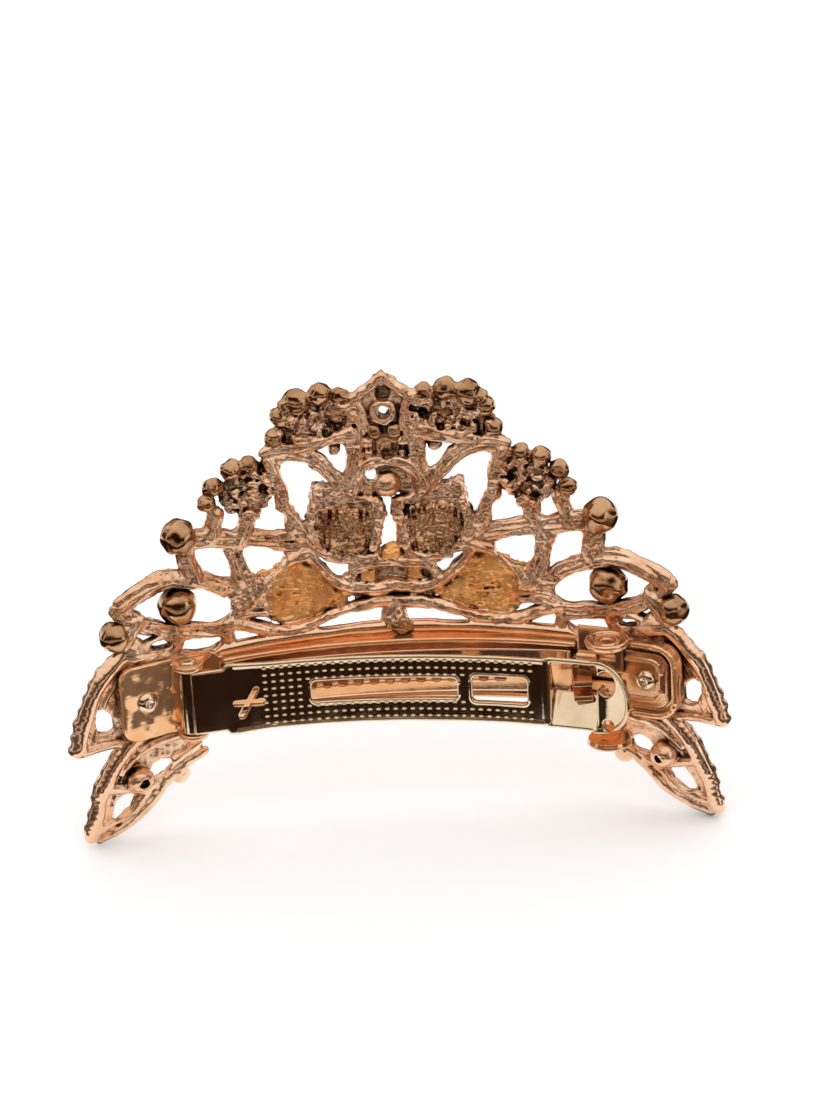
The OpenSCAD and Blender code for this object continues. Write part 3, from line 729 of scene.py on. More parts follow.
strands("petal_cup",
    ([[1.5, 25.2], [1.7, 21.6], [2.4, 18.2]], 0.75, 0.6, 0.5),
    ([[10.9, 25.4], [11.2, 21.8], [10.2, 18.4]], 0.6, 0.6, 0.6),
    ([[2.4, 17], [5.4, 16.6], [8.6, 17.2], [10.8, 18.8]], 0.7, 0.7, 0.7))

# crest and side plates
CREST = spline([
    [3, 37.4], [3.6, 40], [6, 41], [9.4, 41.8], [12.8, 40.8], [14.8, 38.4], [15.4, 35.6], [13.6, 34.6],
    [11, 34.8], [8, 35.8], [5, 35.8]], 4, True)
SIDE = spline([
    [16.4, 27.6], [16.8, 31.2], [19.2, 32.2], [22, 31.2], [23.6, 28.6], [22.4, 25.8], [19.9, 24.8],
    [17.4, 25.8]], 4, True)
leaf_plate(CREST, 0.6, 2.4, "crest_plate")
leaf_plate(SIDE, 0.6, 2.4, "side_plate")
lumps(CREST, 34, "crest_plate")
lumps(SIDE, 24, "side_plate")
half.cut_ball([11.2, 37, -0.2], 0.9, 0.25, 0.9)
for poly, count in ((CREST, 9), (SIDE, 6)):
    for c in rng.uniform(poly.min(0) + 1, poly.max(0) - 1, (count, 2)):
        half.cut_ball([*c, 0.3], rng.uniform(0.5, 0.9), 0.25, 1.3)

# crown tip, with its hollow back
TIP = np.array([[0, 44.7], [4.3, 41.2], [3.2, 39.4], [2.6, 36.8], [-2.6, 36.8], [-3.2, 39.4],
                [-4.3, 41.4]])
leaf_plate(TIP, 0.5, 2.2, "crown_tip", 0.35)
for line_ in ([[0, 44.2], [4, 41.2]], [[4, 41.2], [2.9, 38.8]], [[2.9, 38.8], [2.6, 36.8]],
              [[0, 40.2], [1.2, 39.6], [1.2, 38.2], [0, 37.5]]):
    strand(line_, 0.55, 0.5, "crown_tip", 0.4, 3)
half.cut_ball([0, 38.9, 0], 0.9, 0.15, 4)
lump(1.4, 36, 1.15, "tip_stones", 0.5, 0.8, 0.05)
lump(0.2, 33.4, 2.5, "crest_arch", 2.5, 0.6)

# beads
for x, z, r in ([6, 41.5, 1.4], [8.8, 42.2, 1.7], [12.1, 41.4, 1.9], [14.5, 39.2, 1.4],
                [15.4, 36.2, 1.4], [13.8, 40.8, 1.1], [16.2, 34.4, 0.9]):
    lump(x, z, r, "crest_beads", 0.8, k=0.5)
for x, z, r in ([19.1, 32.4, 1.4], [21.8, 32.1, 1.5], [24.4, 30.2, 1.45], [25.4, 27.6, 1.3],
                [24.6, 25.4, 1.0]):
    lump(x, z, r, "side_beads", 0.8, k=0.4)

# middle cup, rail and solder
lump(0, 27.9, 2.0, "centre_cup", 0.5, 0.85)
RAIL = spline([[-8, 5.6], [0, 5.7], [8, 5.6], [18, 5.3], [27.4, 5.0]], 5)
for s, r in ((-0.95, 0.5), (0.1, 1.0)):
    add_rod_path(half, shifted(RAIL, s), r, r, 0.2, L["bottom_rail"], k=0.12)

# openings between the strands
windows(
    [[14.7, 32.3], [12.6, 32.4], [10.6, 31.2], [8.9, 29.6], [8, 28.1], [10.5, 28.1], [11.4, 25.2],
     [12.3, 23.3], [13.5, 25.6], [14.1, 29]],
    [[8.7, 33.6], [7.4, 34.5], [5.9, 34.2], [5.8, 32.4], [6.4, 30.5], [7.6, 31.6]])
lump(7.1, 33.4, 0.9, "crest_arch", 1.2, k=0.1)
windows(
    [[10.6, 17.3], [8.8, 16.6], [6.6, 15.4], [6.7, 14.5], [7.6, 14.3], [9.1, 15.8]],
    [[10.8, 6.5], [8.6, 7.4], [6.6, 8.3], [3.7, 8.4], [4.6, 7.2], [7.4, 6.5]],
    [[27.3, 20.4], [25.8, 20.9], [24.3, 20], [23.2, 18], [22.8, 15.8], [25.2, 16.9]],
    [[15, 18], [16.6, 19.2], [20.4, 20], [20.9, 18.4], [20.2, 16.6], [18.2, 15.4], [15.8, 16.4]],
    [[14.9, 24.7], [16.5, 25.3], [18.2, 24.5], [18.4, 22.9], [16.3, 22.1], [14.9, 23.3]],
    [[22.2, 24.4], [22.8, 23.8], [22.2, 23.1], [21.6, 23.7]],
    [[35.4, 13], [34.1, 15], [31.5, 15.8], [28, 15], [25, 13.7], [23.3, 12], [23.4, 10.3], [25.5, 9.6],
     [28.3, 10], [31.5, 10.8], [34.2, 11.6]],
    [[25.2, 7], [27.5, 7.4], [29.6, 7.2], [29.5, 5.8], [27.9, 5.3], [26, 5.7]],
    [[33.1, 8.5], [34.6, 8.5], [35, 7.8], [33.6, 7.3], [32.4, 7.5]])
cut_plate(half, [[-0.7, 18.8], [0.7, 19.4], [0.65, 23.6], [-0.7, 23.6]], -3, 4.8, 0.2, 0.3)

# both halves, the parts on one side only, then the cast roughness of each kind
full = Volume([-48.6, -22.6, -3.2], [48.6, 47.2, 4.6], STEP)
LEFT = 100              # added to the label of what lies on the left
for name_ in ("f", "own", "along", "across"):
    right_half = getattr(half, name_)
    left_half = right_half[:0:-1] + (LEFT if name_ == "own" else 0)
    setattr(full, name_, np.concatenate([left_half, right_half]))
full.n = np.array(full.f.shape)
full.best = np.abs(full.f)
full.lo[0] = -half.step * (half.n[0] - 1)
add_ball(full, [1.1, 6.0, -0.7], 1.45, L["solder_joint"], 0.7, k=0.4)
windows([[-3, 30.3], [-1.7, 29.9], [-1.5, 28.9], [-2.5, 28.1]], volume=full)
# round pockets sunk in the back, two of them with a thicker front behind
for x, z, r, tall, label in ((-6.8, 38.7, 1.6, 1.2, L["crest_plate"] + LEFT),
                             (0.2, 41.7, 1.15, 0.9, L["crown_tip"]), (0.2, 33.4, 1.2, 1.0, 0)):
    if label:
        add_ball(full, [x, z, 2.5], r + 1.2, label, 0.62, k=0.3)

    def pocket(gx, gz, gy, x=x, z=z, r=r, tall=tall):
        return np.maximum(np.hypot(gx - x, (gz - z) / tall) - r, gy - 1.7)
    full.cut(pocket, [x - r - 0.5, z - r * 1.3 - 0.5, -3], [x + r + 0.5, z + r * 1.3 + 0.5, 2], 0.2)
full.cut_ball([2.7, 24, 0], 0.8)
near, P = full.near(0.9)
level = np.zeros((len(KINDS) + 1, 4), np.float32)
level[1:] = [amounts for _, *amounts in KINDS.values()]
level = level[full.own[near] % LEFT]
along, across = full.along[near], full.across[near]
flat_part = np.isnan(along)
U = np.stack([np.where(flat_part, P[:, 1], along), np.where(flat_part, P[:, 0], across),
              np.sign(P[:, 0]) * 9 + P[:, 2] * 0.2], 1).astype(np.float32)
full.f[near] += (level[:, 0] * waves(P, 3, (4.5, 4.5, 4.5), 10)
                 + level[:, 1] * waves(P, 4, (1.5, 1.5, 1.5), 14)
                 + level[:, 2] * waves(U, 5, (6.0, 0.8, 3.0), 16))
full.f[near] += level[:, 3] * waves(P, 6, (0.85, 0.85, 0.85), 14)

points, faces, label = full.skin()
points = bent_out(relax(points, faces, 1, 0.4))
faces = outward(points, faces)
shade = normals_of(points, faces)
for kind, (finish, *_) in KINDS.items():
    cad_node = SECOND.get(kind, kind)
    sides = {"": label % LEFT} if cad_node in MIDDLE else {"right_": label, "left_": label - LEFT}
    for side, found in sides.items():
        p, f, n = part_of(points, faces, shade, found == L[kind])
        piece(f"{side}{kind}_cast", p, f, METALS[finish], side + cad_node, normals=n)


# ---- ball cups and stones
def spin(profile, n=48):
    """Points and faces of a profile of (radius, height) turned about its own axis."""
    r, h = np.array(profile, float).T[:, :, None]
    a = np.arange(n) * 2 * math.pi / n
    points = np.stack([r * np.cos(a), r * np.sin(a), h + 0 * a], 2).reshape(-1, 3)
    return points, np.array([[i + j, i + (j + 1) % n, i + n + (j + 1) % n, i + n + j]
                             for i in range(0, n * (len(profile) - 1), n) for j in range(n)])


def on_plate(points, x, z, depth):
    """Local x, y and outward height to a spot on the curved ornament."""
    side = x / PLATE_R
    front = math.sqrt(1 - side**2)
    out = np.array([side, front, 0])
    axes = np.array([[front, -side, 0], [0, 0, 1], out])
    return points @ axes + out * (PLATE_R + depth) + np.array([0, -PLATE_R, z])


def cup_profile(r, rim=0.62):
    """A ball with its front opened for a stone."""
    c, n = r * math.cos(rim), r * math.sin(rim)
    shell = [(r * math.cos(t) + 1e-4, r * math.sin(t)) for t in np.linspace(-math.pi / 2, rim, 22)]
    return shell + [(c - 0.12, n + 0.06), (c - 0.3, n - 0.1), (r * 0.4, r * 0.25), (1e-4, r * 0.2)]


def faceted(r, h, n=8):
    """A round stone cut with a table, star, main and pavilion facets."""
    rings = [(r * 0.98, 0.0, 0.0), (r, h * 0.12, 0.5), (r * 0.82, h * 0.62, 0.0), (r * 0.55, h, 0.5)]
    points = [(0, 0, -h * 0.5)]
    for radius, height, turn in rings:
        for t in (np.arange(n) + turn) * 2 * math.pi / n:
            points.append((radius * math.cos(t), radius * math.sin(t), height))
    pairs = [(j, (j + 1) % n) for j in range(n)]
    tris = [(0, 1 + k, 1 + j) for j, k in pairs]
    for a in range(1, 1 + 3 * n, n):
        for j, k in pairs:
            tris += [(a + j, a + k, a + n + j), (a + k, a + n + k, a + n + j)]
    top = 1 + 3 * n
    tris += [(top + j, top + k, top + n) for j, k in pairs]
    return np.array([*points, (0, 0, h)], float), np.array(tris)


def joined(parts):
    """Several meshes as one."""
    pts, fs, at = [], [], 0
    for p, f in parts:
        pts.append(p)
        fs.append(f + at)
        at += len(p)
    return np.concatenate(pts), np.concatenate(fs)


def spread(part, places):
    """Copies of one part set at spots on the ornament, with a size each."""
    p, f = part
    return joined([(on_plate(p * k, x, z, d), f) for x, z, d, k in places])


CUPS = {"shoulder_ball": (29.7, 23.4, 2.65), "frame_ball": (30.6, 13.0, 2.9),
        "end_cup": (39.4, 10.4, 2.3)}
LEAF_ROWS = ([[37.4, 7.8], [40.2, 5.4], [42.6, 2.2], [44.6, -3.4]],
             [[38, -6.6], [41, -10.2], [43, -14.6], [44.2, -18.6]])
for s, side in ((-1, "left"), (1, "right")):
    seats = []
    for node, (x, z, r) in CUPS.items():
        p, f = spin(cup_profile(r), 64)
        p = p + 0.03 * waves(p, 20 + len(node) + s, (2.6, 2.6, 2.6), 8)[:, None] * p
        piece(f"{side}_{node}_cup", on_plate(p, s * x, z, 1.0), f, METALS["bead"], f"{side}_{node}")
        seats.append((s * x, z, 1.0 + r * 0.52, r * 0.8))
    p, f = spread(faceted(1.0, 0.55, 12), seats)
    stones = piece(f"{side}_round_stones_cut", p, f, GEM, f"{side}_round_stones",
                   smooth=False)
    stones.data.materials.append(GEM_GREEN)
    flats = list(stones.data.polygons)
    for flat in flats[2 * len(flats) // 3:]:        # the end stone is the third of three
        flat.material_index = 1
    p, f = faceted(1.0, 0.6, 14)
    p[:, 1] *= 1.12
    p[:, 0] *= 1 - 0.16 * np.clip(p[:, 1], -1, 1)
    p, f = spread((p, f), [(s * 6.2, 21.8, 3.0, 3.5)])
    piece(f"{side}_petal_stone_cut", p, f, GEM, f"{side}_petal_stone", smooth=False)
    row = [(s * x, z, 1.85, 0.78) for path in LEAF_ROWS for x, z in spline(path, 3)]
    p, f = spread(faceted(1.0, 0.75, 8), row)
    piece(f"{side}_leaf_stones_cut", p, f, GEM, f"{side}_leaf_stones", smooth=False)
row = [(x, z, 2.1, 1.2) for x, z in ([5.6, 38], [8.8, 39.4], [11.8, 37.8], [-11.8, 37.8])]
row += [(s * x, z, 2.1, 1.2) for s in (-1, 1) for x, z in ([19.4, 28.6], [21.8, 26.2])]
row += [(0, 28.4, 1.9, 1.7), (0.2, 41.7, 3.8, 1.3), (-6.8, 38.7, 4.1, 1.5)]
p, f = spread(faceted(1.0, 0.7, 10), row)
piece("crest_stones_cut", p, f, GEM, "crest_stones", smooth=False)

# ---- base plate
FINE = 0.15             # cell size of the base plate
v = Volume([-41.6, -7.2, -11.6], [42.4, 7.2, 0.6], FINE)


def round_rect(x0, x1, h, r, n=6):
    """A rectangle with round corners, as high above the middle line as below it."""
    corners = ((x1 - r, h - r, 0), (x0 + r, h - r, 90), (x0 + r, r - h, 180), (x1 - r, r - h, 270))
    return np.array([(cx + r * math.cos(t), cz + r * math.sin(t)) for cx, cz, start in corners
                     for t in np.radians(np.linspace(start, start + 90, n))])


def bead(v, path, r, depth, k, flat=1.0):
    """A raised line along a path."""
    add_rod_path(v, path, r, r, depth, 0, flat, k)


add_plate(v, [[-34, -4.75], [34, -4.75], [34, 4.75], [-34, 4.75]], -BASE_T, 0, 0.2, 0.1)
add_plate(v, round_rect(-40, -25.6, 5.85, 2), -BASE_T, 0, 0.3, 0.1)
add_plate(v, round_rect(27.6, 41, 5.8, 3), -BASE_T, 0, 0.3, 0.1)
for s in (-1, 1):
    bead(v, [[-25.4, s * 4.35], [26.4, s * 4.35]], 0.42, -2.1, 0.5)
    add_box(v, [-25.6, s * 4.35 - 0.4, -2.4], [26.5, s * 4.35 + 0.4, -0.6], 0.2)
bead(v, [[-25, 0], [24, 0]], 0.9, -1.0, 0.5, 0.6)
rim = round_rect(28, 40.6, 5.4, 2.7)
arc = [[34.9, -5.4], *(q for q in [*rim[18:], *rim[:6]] if q[0] > 34.6), [34.9, 5.4]]
bead(v, arc, 0.42, -2.0, 0.4)
bead(v, arc, 0.4, -1.4, 0.4)
FOOT = np.array([[PIN_X - 2.2, PIN_Y], [PIN_X + 2.2, PIN_Y], [PIN_X + 4.2, PIN_Y + 12],
                 [PIN_X - 4, PIN_Y + 9]])


def ear(x, z, d):
    """Both hinge ears: flat sides round the pin, widening toward the plate."""
    gx = (PLATE_R + d) * x / PLATE_R + 0 * z
    gy = (PLATE_R + d) * np.sqrt(1 - (x / PLATE_R)**2) - PLATE_R + 0 * z
    side = np.minimum(outline_distance(FOOT, gx, gy), np.hypot(gx - PIN_X, gy - PIN_Y) - 2.2)
    return np.maximum(rounded(side, np.abs(np.abs(z) - 5.45) - 0.4, 0.2), d + 0.4)


v.add(ear, [-36, -6, -11], [-24.5, 6, -0.2], 0.4)
near, P = v.near(0.6)
v.f[near] += 0.025 * waves(P, 31, (6, 6, 6), 8)
flange = np.clip((-P[:, 0] - 25.5) / 2, 0, 1) * (P[:, 2] > -2)
v.f[near] += flange * (0.045 * waves(P, 33, (5, 5, 5), 10) + 0.012 * waves(P, 34, (1.6, 1.6, 1.6), 10))
p, f = v.smooth(3)
piece("base_plate_bent", bent_out(p), f, INNER, "base_plate")

# ---- clasp arm
FINE = 0.12
v = Volume([-32.6, -6.4, -4.6], [36, 6.4, 3.4], FINE)
PIN_U = -ARM_R * HINGE_TURN
PIN = (PIN_U, -PIN_OFF)
ARM_HALF = 5.15
SIDE_EDGE = [[PIN_U, 4.9], [-25.4, 4.9], [-25.1, 5.4], [-24.6, 5.6], [-23.6, 5.5],
             [-18.5, ARM_HALF], [22, ARM_HALF]]
add_plate(v, [[u, -z] for u, z in SIDE_EDGE] + SIDE_EDGE[::-1], 0, ARM_T, 0.28, 0.1)
for s in (-1, 1):
    bead(v, [[-23.6, s * 5.2], [-18.5, s * 4.9], [21, s * 4.9]], 0.3, 0.66, 0.3)
v.add(drum(1, PIN, 1.65, 0, 4.9), [PIN_U - 1.7, -4.9, -3], [PIN_U + 1.7, 4.9, 0.5], 0.3)
SLOTS = [(-12.7, 8.5, 1.6), (10.7, 18.8, 2.0)]
for x0, x1, h in SLOTS:
    ring = round_rect(x0 - 0.25, x1 + 0.25, h + 0.25, 0.9)
    bead(v, [*ring, ring[0]], 0.14, ARM_T - 0.06, 0.25)
    cut_plate(v, round_rect(x0, x1, h, 0.7), -2, 3, 0.1, 0.15)
CROSS = np.array([-21.9, -0.8])
for turn, length in ((-3, 1.9), (60, 2.25)):
    d = length * np.array([math.cos(math.radians(turn)), math.sin(math.radians(turn))])
    v.cut(rod([*(CROSS - d), 0.4], [*(CROSS + d), 0.4], 0.4, 0.4, 5), [*(CROSS - 2.8), -2],
          [*(CROSS + 2.8), 3], 0.15)

# the end loop: step, slanted rails, end walls and half-moon tab
U0, U1 = 21.9, 29.7
RAILS = np.array((((5.15, 0.4), (4.6, -0.5)), ((-5.15, 0.4), (-1.3, -2.5))))
WALL = np.array([[-5.3, 0.6], [-5.3, 0.2], [-1.5, -2.9], [1.5, -1.4], [5.3, -0.2], [5.3, 0.6]])
MOON_U, MOON_R = 28.9, 5.6


def rails(x, z, w):
    """The slanted sides of the end loop."""
    d = 9.0
    for a, b in RAILS:
        e = b - a
        t = np.clip(((z - a[0]) * e[0] + (w - a[1]) * e[1]) / (e @ e), 0, 1)
        d = np.minimum(d, np.hypot(z - a[0] - t * e[0], w - a[1] - t * e[1]) - 0.36)
    return meet(d, U0 - x, x - U1 - 0.3)


def moon_lift(x):
    return 0.4 + 0.05 * np.maximum(x - 29.4, 0)**2


def half_moon(x, z, w):
    return meet(np.abs(w - moon_lift(x)) - 0.34, np.hypot(x - MOON_U, z) - MOON_R, 29.3 - x)


def moon_rim(x, z, w):
    ring = np.hypot(np.hypot(x - MOON_U, z) - MOON_R + 0.25, w - moon_lift(x) - 0.25) - 0.3
    return meet(ring, 28.6 - x)


v.add(rails, [U0, -5.8, -3.4], [U1 + 0.3, 5.8, 1], 0.35)
for u in (U0 - 0.1, U1):
    v.add(lambda x, z, w, u=u: meet(outline_distance(WALL, z, w), np.abs(x - u) - 0.38),
          [u - 0.4, -5.4, -3], [u + 0.4, 5.4, 0.6], 0.5)
v.add(half_moon, [29.3, -5.8, -0.4], [34.6, 5.8, 2.6], 0.35)
v.add(moon_rim, [28.6, -5.8, -0.2], [34.7, 5.8, 2.9], 0.2)
v.cut(lambda x, z, w: np.hypot((x - 30.6) / 0.8, z - 2.3) - 1.9 + 0 * w, [28.8, 0.2, -0.6],
      [32.4, 4.4, 3], 0.15)
v.cut(drum(2, (30.9, -4.2), 0.9), [30, -5.2, -0.6], [32, -3.2, 3], 0.15)
v.cut(drum(1, PIN, 0.85), [PIN_U - 1, -6, -3], [PIN_U + 1, 6, 0], 0.05)
near, P = v.near(0.5)
v.f[near] += 0.012 * waves(P, 32, (7, 5, 5), 8)
p, f = v.smooth(3)
# raised dashes in rows along the arm
dash_p, dash_f = spin([(1.0, 0), (0.86, 0.45), (0.5, 0.85), (1e-4, 1.0)], 12)
DASH_ROWS, ROW_PITCH, DASH_PITCH = 4, 1.08, 1.25
parts = [(p, outward(bent_arm(p), f))]
for z in ROW_PITCH * np.arange(-DASH_ROWS, DASH_ROWS + 1):
    for u in np.arange(-19.4, 20.4, DASH_PITCH):
        if any(x0 - 0.9 < u < x1 + 0.9 and abs(z) < h + 0.55 for x0, x1, h in SLOTS):
            continue
        q = dash_p * np.array([0.38, 0.17, 0.26]) + np.array([u, z, ARM_T - 0.02])
        parts.append((q, outward(bent_arm(q), dash_f)))
p, f = joined(parts)
piece("clasp_arm_stamped", arm_placed(bent_arm(p)), f, CLIP, "clasp_arm", "arm")

# ---- tension bar
v = Volume([-27, -4, -1.6], [27, 4, 1.6], FINE)
add_plate(v, round_rect(-25.8, 25.8, 3.4, 0.8), 0, 0.5, 0.18, 0.1)
cut_plate(v, round_rect(-16, 16, 1.6, 0.5), -1, 2, 0.1, 0.1)
for x in 2.3 * np.arange(-6, 7):
    for s in (-1, 1):
        tooth = [[x - 0.85, s * 1.75], [x - 0.4, s * 0.9], [x + 0.4, s * 0.9], [x + 0.85, s * 1.75]]
        add_plate(v, tooth, 0.02, 0.48, 0.1, 0.15)
for x in (-25.4, 25.4):
    bead(v, [[x, -2.4], [x, 2.4]], 0.42, -0.35, 0.3)
p, f = v.smooth(2)
p = bent_arm(p, BAR_R, BAR_CY)
for s, side in ((-1, "left"), (1, "right")):
    q, g, n = part_of(p, f, normals_of(p, f), p[f].mean(1)[:, 0] * s >= 0)
    o = piece(f"tension_bar_{side}_half", q, g, METALS["smooth"], "tension_bar", None, n)
    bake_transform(o)

# ---- catch
FINE = 0.1
COS, SIN = math.cos(CATCH_TURN), math.sin(CATCH_TURN)


def to_frame(x, h):
    """Along and off the catch base to the shared frame's x and y."""
    return CATCH_X + x * COS + h * SIN, CATCH_Y + x * SIN - h * COS


def catch_placed(q, s):
    """Local x, z, height off the catch base to the shared frame."""
    return np.stack([*to_frame(q[:, 0], q[:, 2]), s * q[:, 1]], 1)


def prong(x, z, h):
    """A stem toward the hair with a hook that holds the arm."""
    gx, gy = to_frame(x, h)
    width = np.abs(gx - 26.6) - 1.3
    stem = meet(width, np.abs(gy + 10.45) - 2.85, np.abs(z - 1.0) - 0.18)
    hook = meet(width, np.abs(gy + 13.05) - 0.28, np.abs(z - 1.12) - 0.33)
    return np.minimum(stem, hook) - 0.07


v = Volume([-6, 0.2, -0.6], [8.2, 9.2, 9.2], FINE)
TAB = (4.3, 5.4)                      # middle of the finger tab, along and off its base
COIL = (3.0, 1.05)                    # middle of the spring roll, z and height
add_box(v, [-1.6, 0.75, 0.35], [5.2, 7.7, 0.85], 0.14)
add_box(v, [3.1, 7.2, 0.4], [5.5, 7.7, 4.6], 0.14, 0.3)
v.add(drum(1, TAB, 3.0, 7.45, 0.25), [1.2, 7, 2.2], [7.4, 7.9, 8.6], 0.2)
v.add(hoop(TAB, 2.85, 7.85, 0.36), [1, 7.3, 2], [7.6, 8.4, 8.8], 0.3)
v.add(hoop(TAB, 1.2, 7.6, 0.3), [2.6, 7.2, 3.6], [6, 8.1, 7.2], 0.4)
v.add(drum(0, COIL, 0.7, -0.1, 1.5), [-1.7, 2.2, 0.3], [1.5, 3.8, 1.8], 0.15)
v.cut(drum(0, COIL, 0.4), [-2.6, 2.5, 0.6], [3, 3.5, 1.5], 0.05)
v.add(prong, [-6, 0.5, -0.4], [2.6, 1.8, 7.4], 0.2)
p, f = v.smooth(2)
for s, name in ((1, "upper"), (-1, "lower")):
    piece(f"catch_{name}_pressed", catch_placed(p, s), f, PRESSED, f"catch_{name}", f"{name}_catch")

v = Volume([24.6, -5, -3.4], [40.8, 5, -0.8], FINE)
add_plate(v, round_rect(31.4, 39.8, 4.3, 2), -1.8, -1.05, 0.2)
add_plate(v, [[25.6, -3.8], [32.2, -3.8], [32.2, 3.8], [25.6, 3.8]], -1.8, -1.05, 0.2, 0.1)
ring = round_rect(32.6, 38.6, 3.1, 1.5)
bead(v, [*ring, ring[0]], 0.3, -1.75, 0.35)
for z in (-3, 3):
    add_box(v, [25.7, z - 0.7, -3.2], [26.2, z + 0.7, -1.6], 0.12)
p, f = v.smooth(2)
q, g = spin([(1e-4, -2.0), (0.35, -2.0), (0.35, 1.4), (1e-4, 1.4)], 20)
pins = [(catch_placed(np.stack([q[:, 2], z + q[:, 0], 1.05 + q[:, 1]], 1), 1), g) for z in (-3, 3)]
p, f = joined([(bent_out(p), f), *pins])
piece("catch_base_pressed", p, f, PRESSED, "catch_base")

# ---- hinge pin and rivets
PIN_END = [(1e-4, -6.35), (0.7, -6.33), (1.1, -6.2), (1.3, -5.95), (1.25, -5.86), (0.79, -5.85)]
p, f = spin(PIN_END + [(r, -h) for r, h in PIN_END[::-1]], 40)
piece("hinge_pin_turned", p + np.array([PIN_X, PIN_Y, 0]), f, CLIP, "hinge_pin")
q, g = spin([(1e-4, -0.62), (0.3, -0.6), (0.42, -0.82), (0.8, -0.86), (1.2, -0.68), (1.5, -0.3),
             (1.62, 0.0), (1.3, 0.12), (1e-4, 0.12)], 40)
p, f = joined([(on_plate(q, x, 0, low), g) for x, low in ((-36.5, -BASE_T), (36.5, -1.8))])
piece("rivets_peened", p, f, CLIP, "rivets")

# ---- stage, light, camera
floor_z = cad_low[2] - 0.0006
bpy.ops.mesh.primitive_plane_add(size=6, location=(0, 0, floor_z))
floor = bpy.context.object
floor.name = "floor"
floor.data.materials.append(plain("pale_floor", (0.93, 0.92, 0.92), {"Roughness": 0.9}))

world = bpy.data.worlds.new("studio")
bpy.context.scene.world = world
world.use_nodes = True
sky = world.node_tree.nodes["Background"]
sky.inputs[0].default_value = (1, 1, 1, 1)
sky.inputs[1].default_value = 1.25


def mirrored_only(o, material):
    """The metal mirrors it, and it lights and shades nothing else."""
    o.data.materials.append(material)
    o.visible_camera = False
    o.visible_diffuse = False
    o.visible_shadow = False


def glow(name, stops, axis=0, low=0, high=1):
    """Plain light: even, or changing colour along one of the object's own axes."""
    m, node = new_material(name)
    colour = (*stops[0][1], 1)
    if len(stops) > 1:
        place = node("TexCoord", {}).outputs["Object"]
        along = node("SeparateXYZ", {"Vector": place}).outputs[axis]
        share = node("MapRange", {"Value": along, "From Min": low, "From Max": high})
        colour = ramp(node, share.outputs[0], stops)
    light = node("Emission", {"Color": colour})
    node("OutputMaterial", {"Surface": light.outputs[0]})
    return m


# a surround that only the metal mirrors: dim at the horizon, bright overhead
SURROUND = 0.9
p, f = spin([(SURROUND * math.cos(t), SURROUND * math.sin(t))
             for t in np.radians(np.linspace(-8, 89.9, 40))], 96)
mesh = bpy.data.meshes.new("surround")
mesh.from_pydata(p.tolist(), [], f.tolist())
mirrored_only(placed("surround", mesh), glow("surround_light", [
    (0.0, (0.06, 0.03, 0.015)), (0.14, (0.02, 0.009, 0.004)), (0.3, (0.04, 0.02, 0.01)),
    (0.42, (0.36, 0.25, 0.17)), (0.55, (0.85, 0.76, 0.7)), (0.8, (0.95, 0.91, 0.9)),
    (1.0, (0.95, 0.92, 0.91))], 2, 0.0, SURROUND))


def panel(name, where, to, size, material):
    """A flat panel out of shot that faces a spot."""
    bpy.ops.mesh.primitive_plane_add(size=1, location=where)
    o = bpy.context.object
    o.name = name
    for q in o.data.vertices:
        q.co.x *= size[0]
        q.co.y *= size[1]
    o.rotation_euler = (Vector(to) - Vector(where)).to_track_quat("Z", "Y").to_euler()
    mirrored_only(o, material)


def floor_panel(name, x, y, size, material):
    """A tone that the metal mirrors in place of the pale floor."""
    panel(name, (x, y, floor_z + 0.0003), (x, y, 1), size, material)


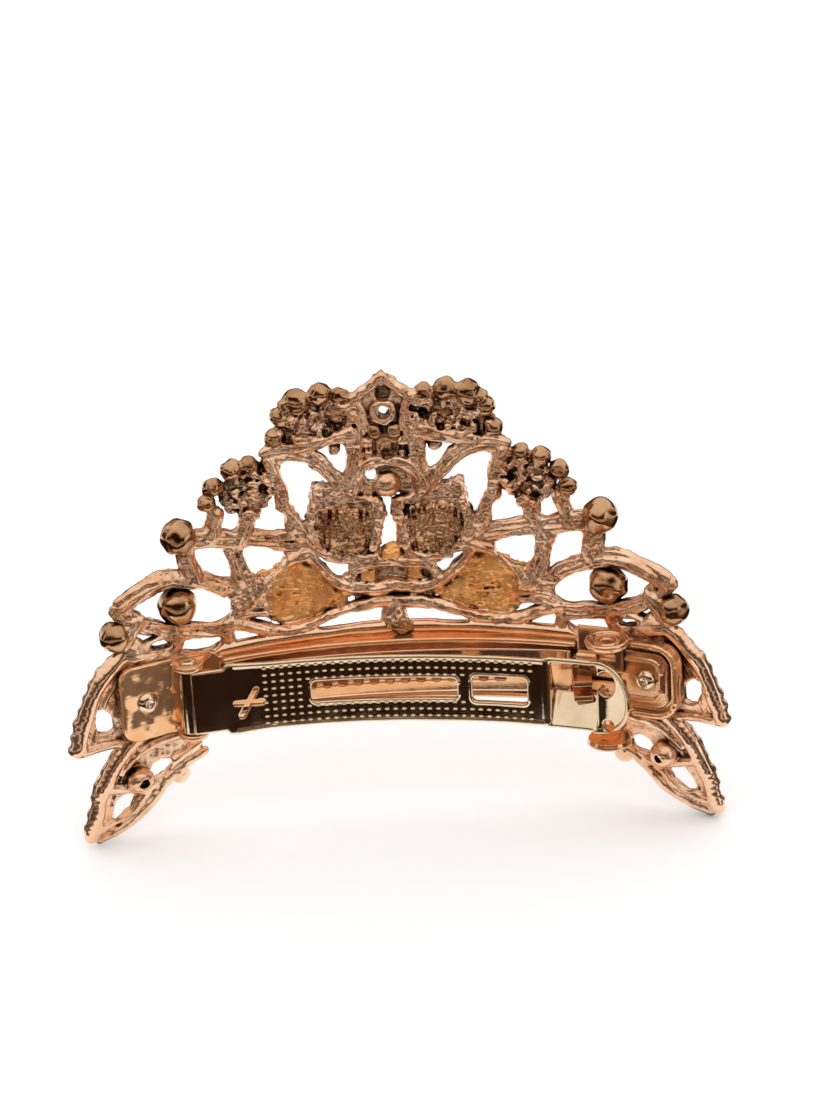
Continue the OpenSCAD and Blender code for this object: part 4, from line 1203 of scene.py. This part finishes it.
BLACK, WARM, GREY = (0.02, 0.01, 0.006), (0.8, 0.64, 0.54), (0.1, 0.06, 0.04)
WHITE = (1.4, 1.25, 1.15)
floor_panel("front_floor_panel", 0, -0.0615, (0.9, 0.047), glow("front_floor_tone", [
    (0.0, (0.3, 0.2, 0.12)), (0.35, (0.1, 0.055, 0.03)), (0.5, (0.022, 0.009, 0.005)),
    (0.8, (0.02, 0.008, 0.005)), (1.0, (0.03, 0.012, 0.008))], 0, -0.2, 0.2))
floor_panel("front_floor_far", 0, -0.3425, (0.9, 0.515), glow("front_floor_bands", [
    (0.0, BLACK), (0.02, BLACK), (0.04, WARM), (0.07, WARM), (0.09, GREY), (0.13, GREY),
    (0.15, WHITE), (0.2, WHITE), (0.23, BLACK), (0.38, BLACK), (0.42, (0.6, 0.45, 0.35)),
    (1.0, BLACK)], 1, -0.2575, 0.2575))
dark = glow("side_floor_tone", [(0, (0.03, 0.015, 0.008))])
for s in (-1, 1):
    floor_panel(f"side_floor_{s}", s * 0.256, 0.031, (0.388, 0.138), dark)
MIDDLE_SPOT = (0, 0, 0.02)
soft = glow("soft_box_light", [(0.0, (0.5, 0.46, 0.44)), (1.0, (0.9, 0.88, 0.87))], 1, -0.15, 0.15)
even = glow("side_box_light", [(0, (1, 1, 1))])
panel("left_box", (-0.66, -0.16, 0.16), MIDDLE_SPOT, (0.24, 0.3), soft)
panel("right_box", (0.56, -0.42, 0.14), MIDDLE_SPOT, (0.3, 0.34), even)
panel("left_back_box", (-0.55, 0.4, 0.2), MIDDLE_SPOT, (0.16, 0.5), even)
panel("right_back_box", (0.55, 0.4, 0.2), MIDDLE_SPOT, (0.16, 0.5), even)

lens = bpy.data.cameras.new("camera")
lens.lens = 90.2
lens.sensor_width = 36
lens.clip_start, lens.clip_end = 0.01, 20
camera = placed("camera", lens)
bpy.context.scene.camera = camera
AZ, EL, ROLL = math.radians(0.65), math.radians(22), math.radians(-3.1)
TARGET, DISTANCE = Vector((0.0035, 0, 0.0175)), 0.4
back = Vector((math.sin(AZ) * math.cos(EL), -math.cos(AZ) * math.cos(EL), math.sin(EL)))
level_x = Vector((math.cos(AZ), math.sin(AZ), 0))
level_y = back.cross(level_x)
axes = (level_x * math.cos(ROLL) + level_y * math.sin(ROLL),
        level_y * math.cos(ROLL) - level_x * math.sin(ROLL), back)
camera.matrix_world = Matrix.Translation(TARGET + back * DISTANCE) @ Matrix(
    axes).transposed().to_4x4()
bpy.context.scene.view_settings.view_transform = "Standard"
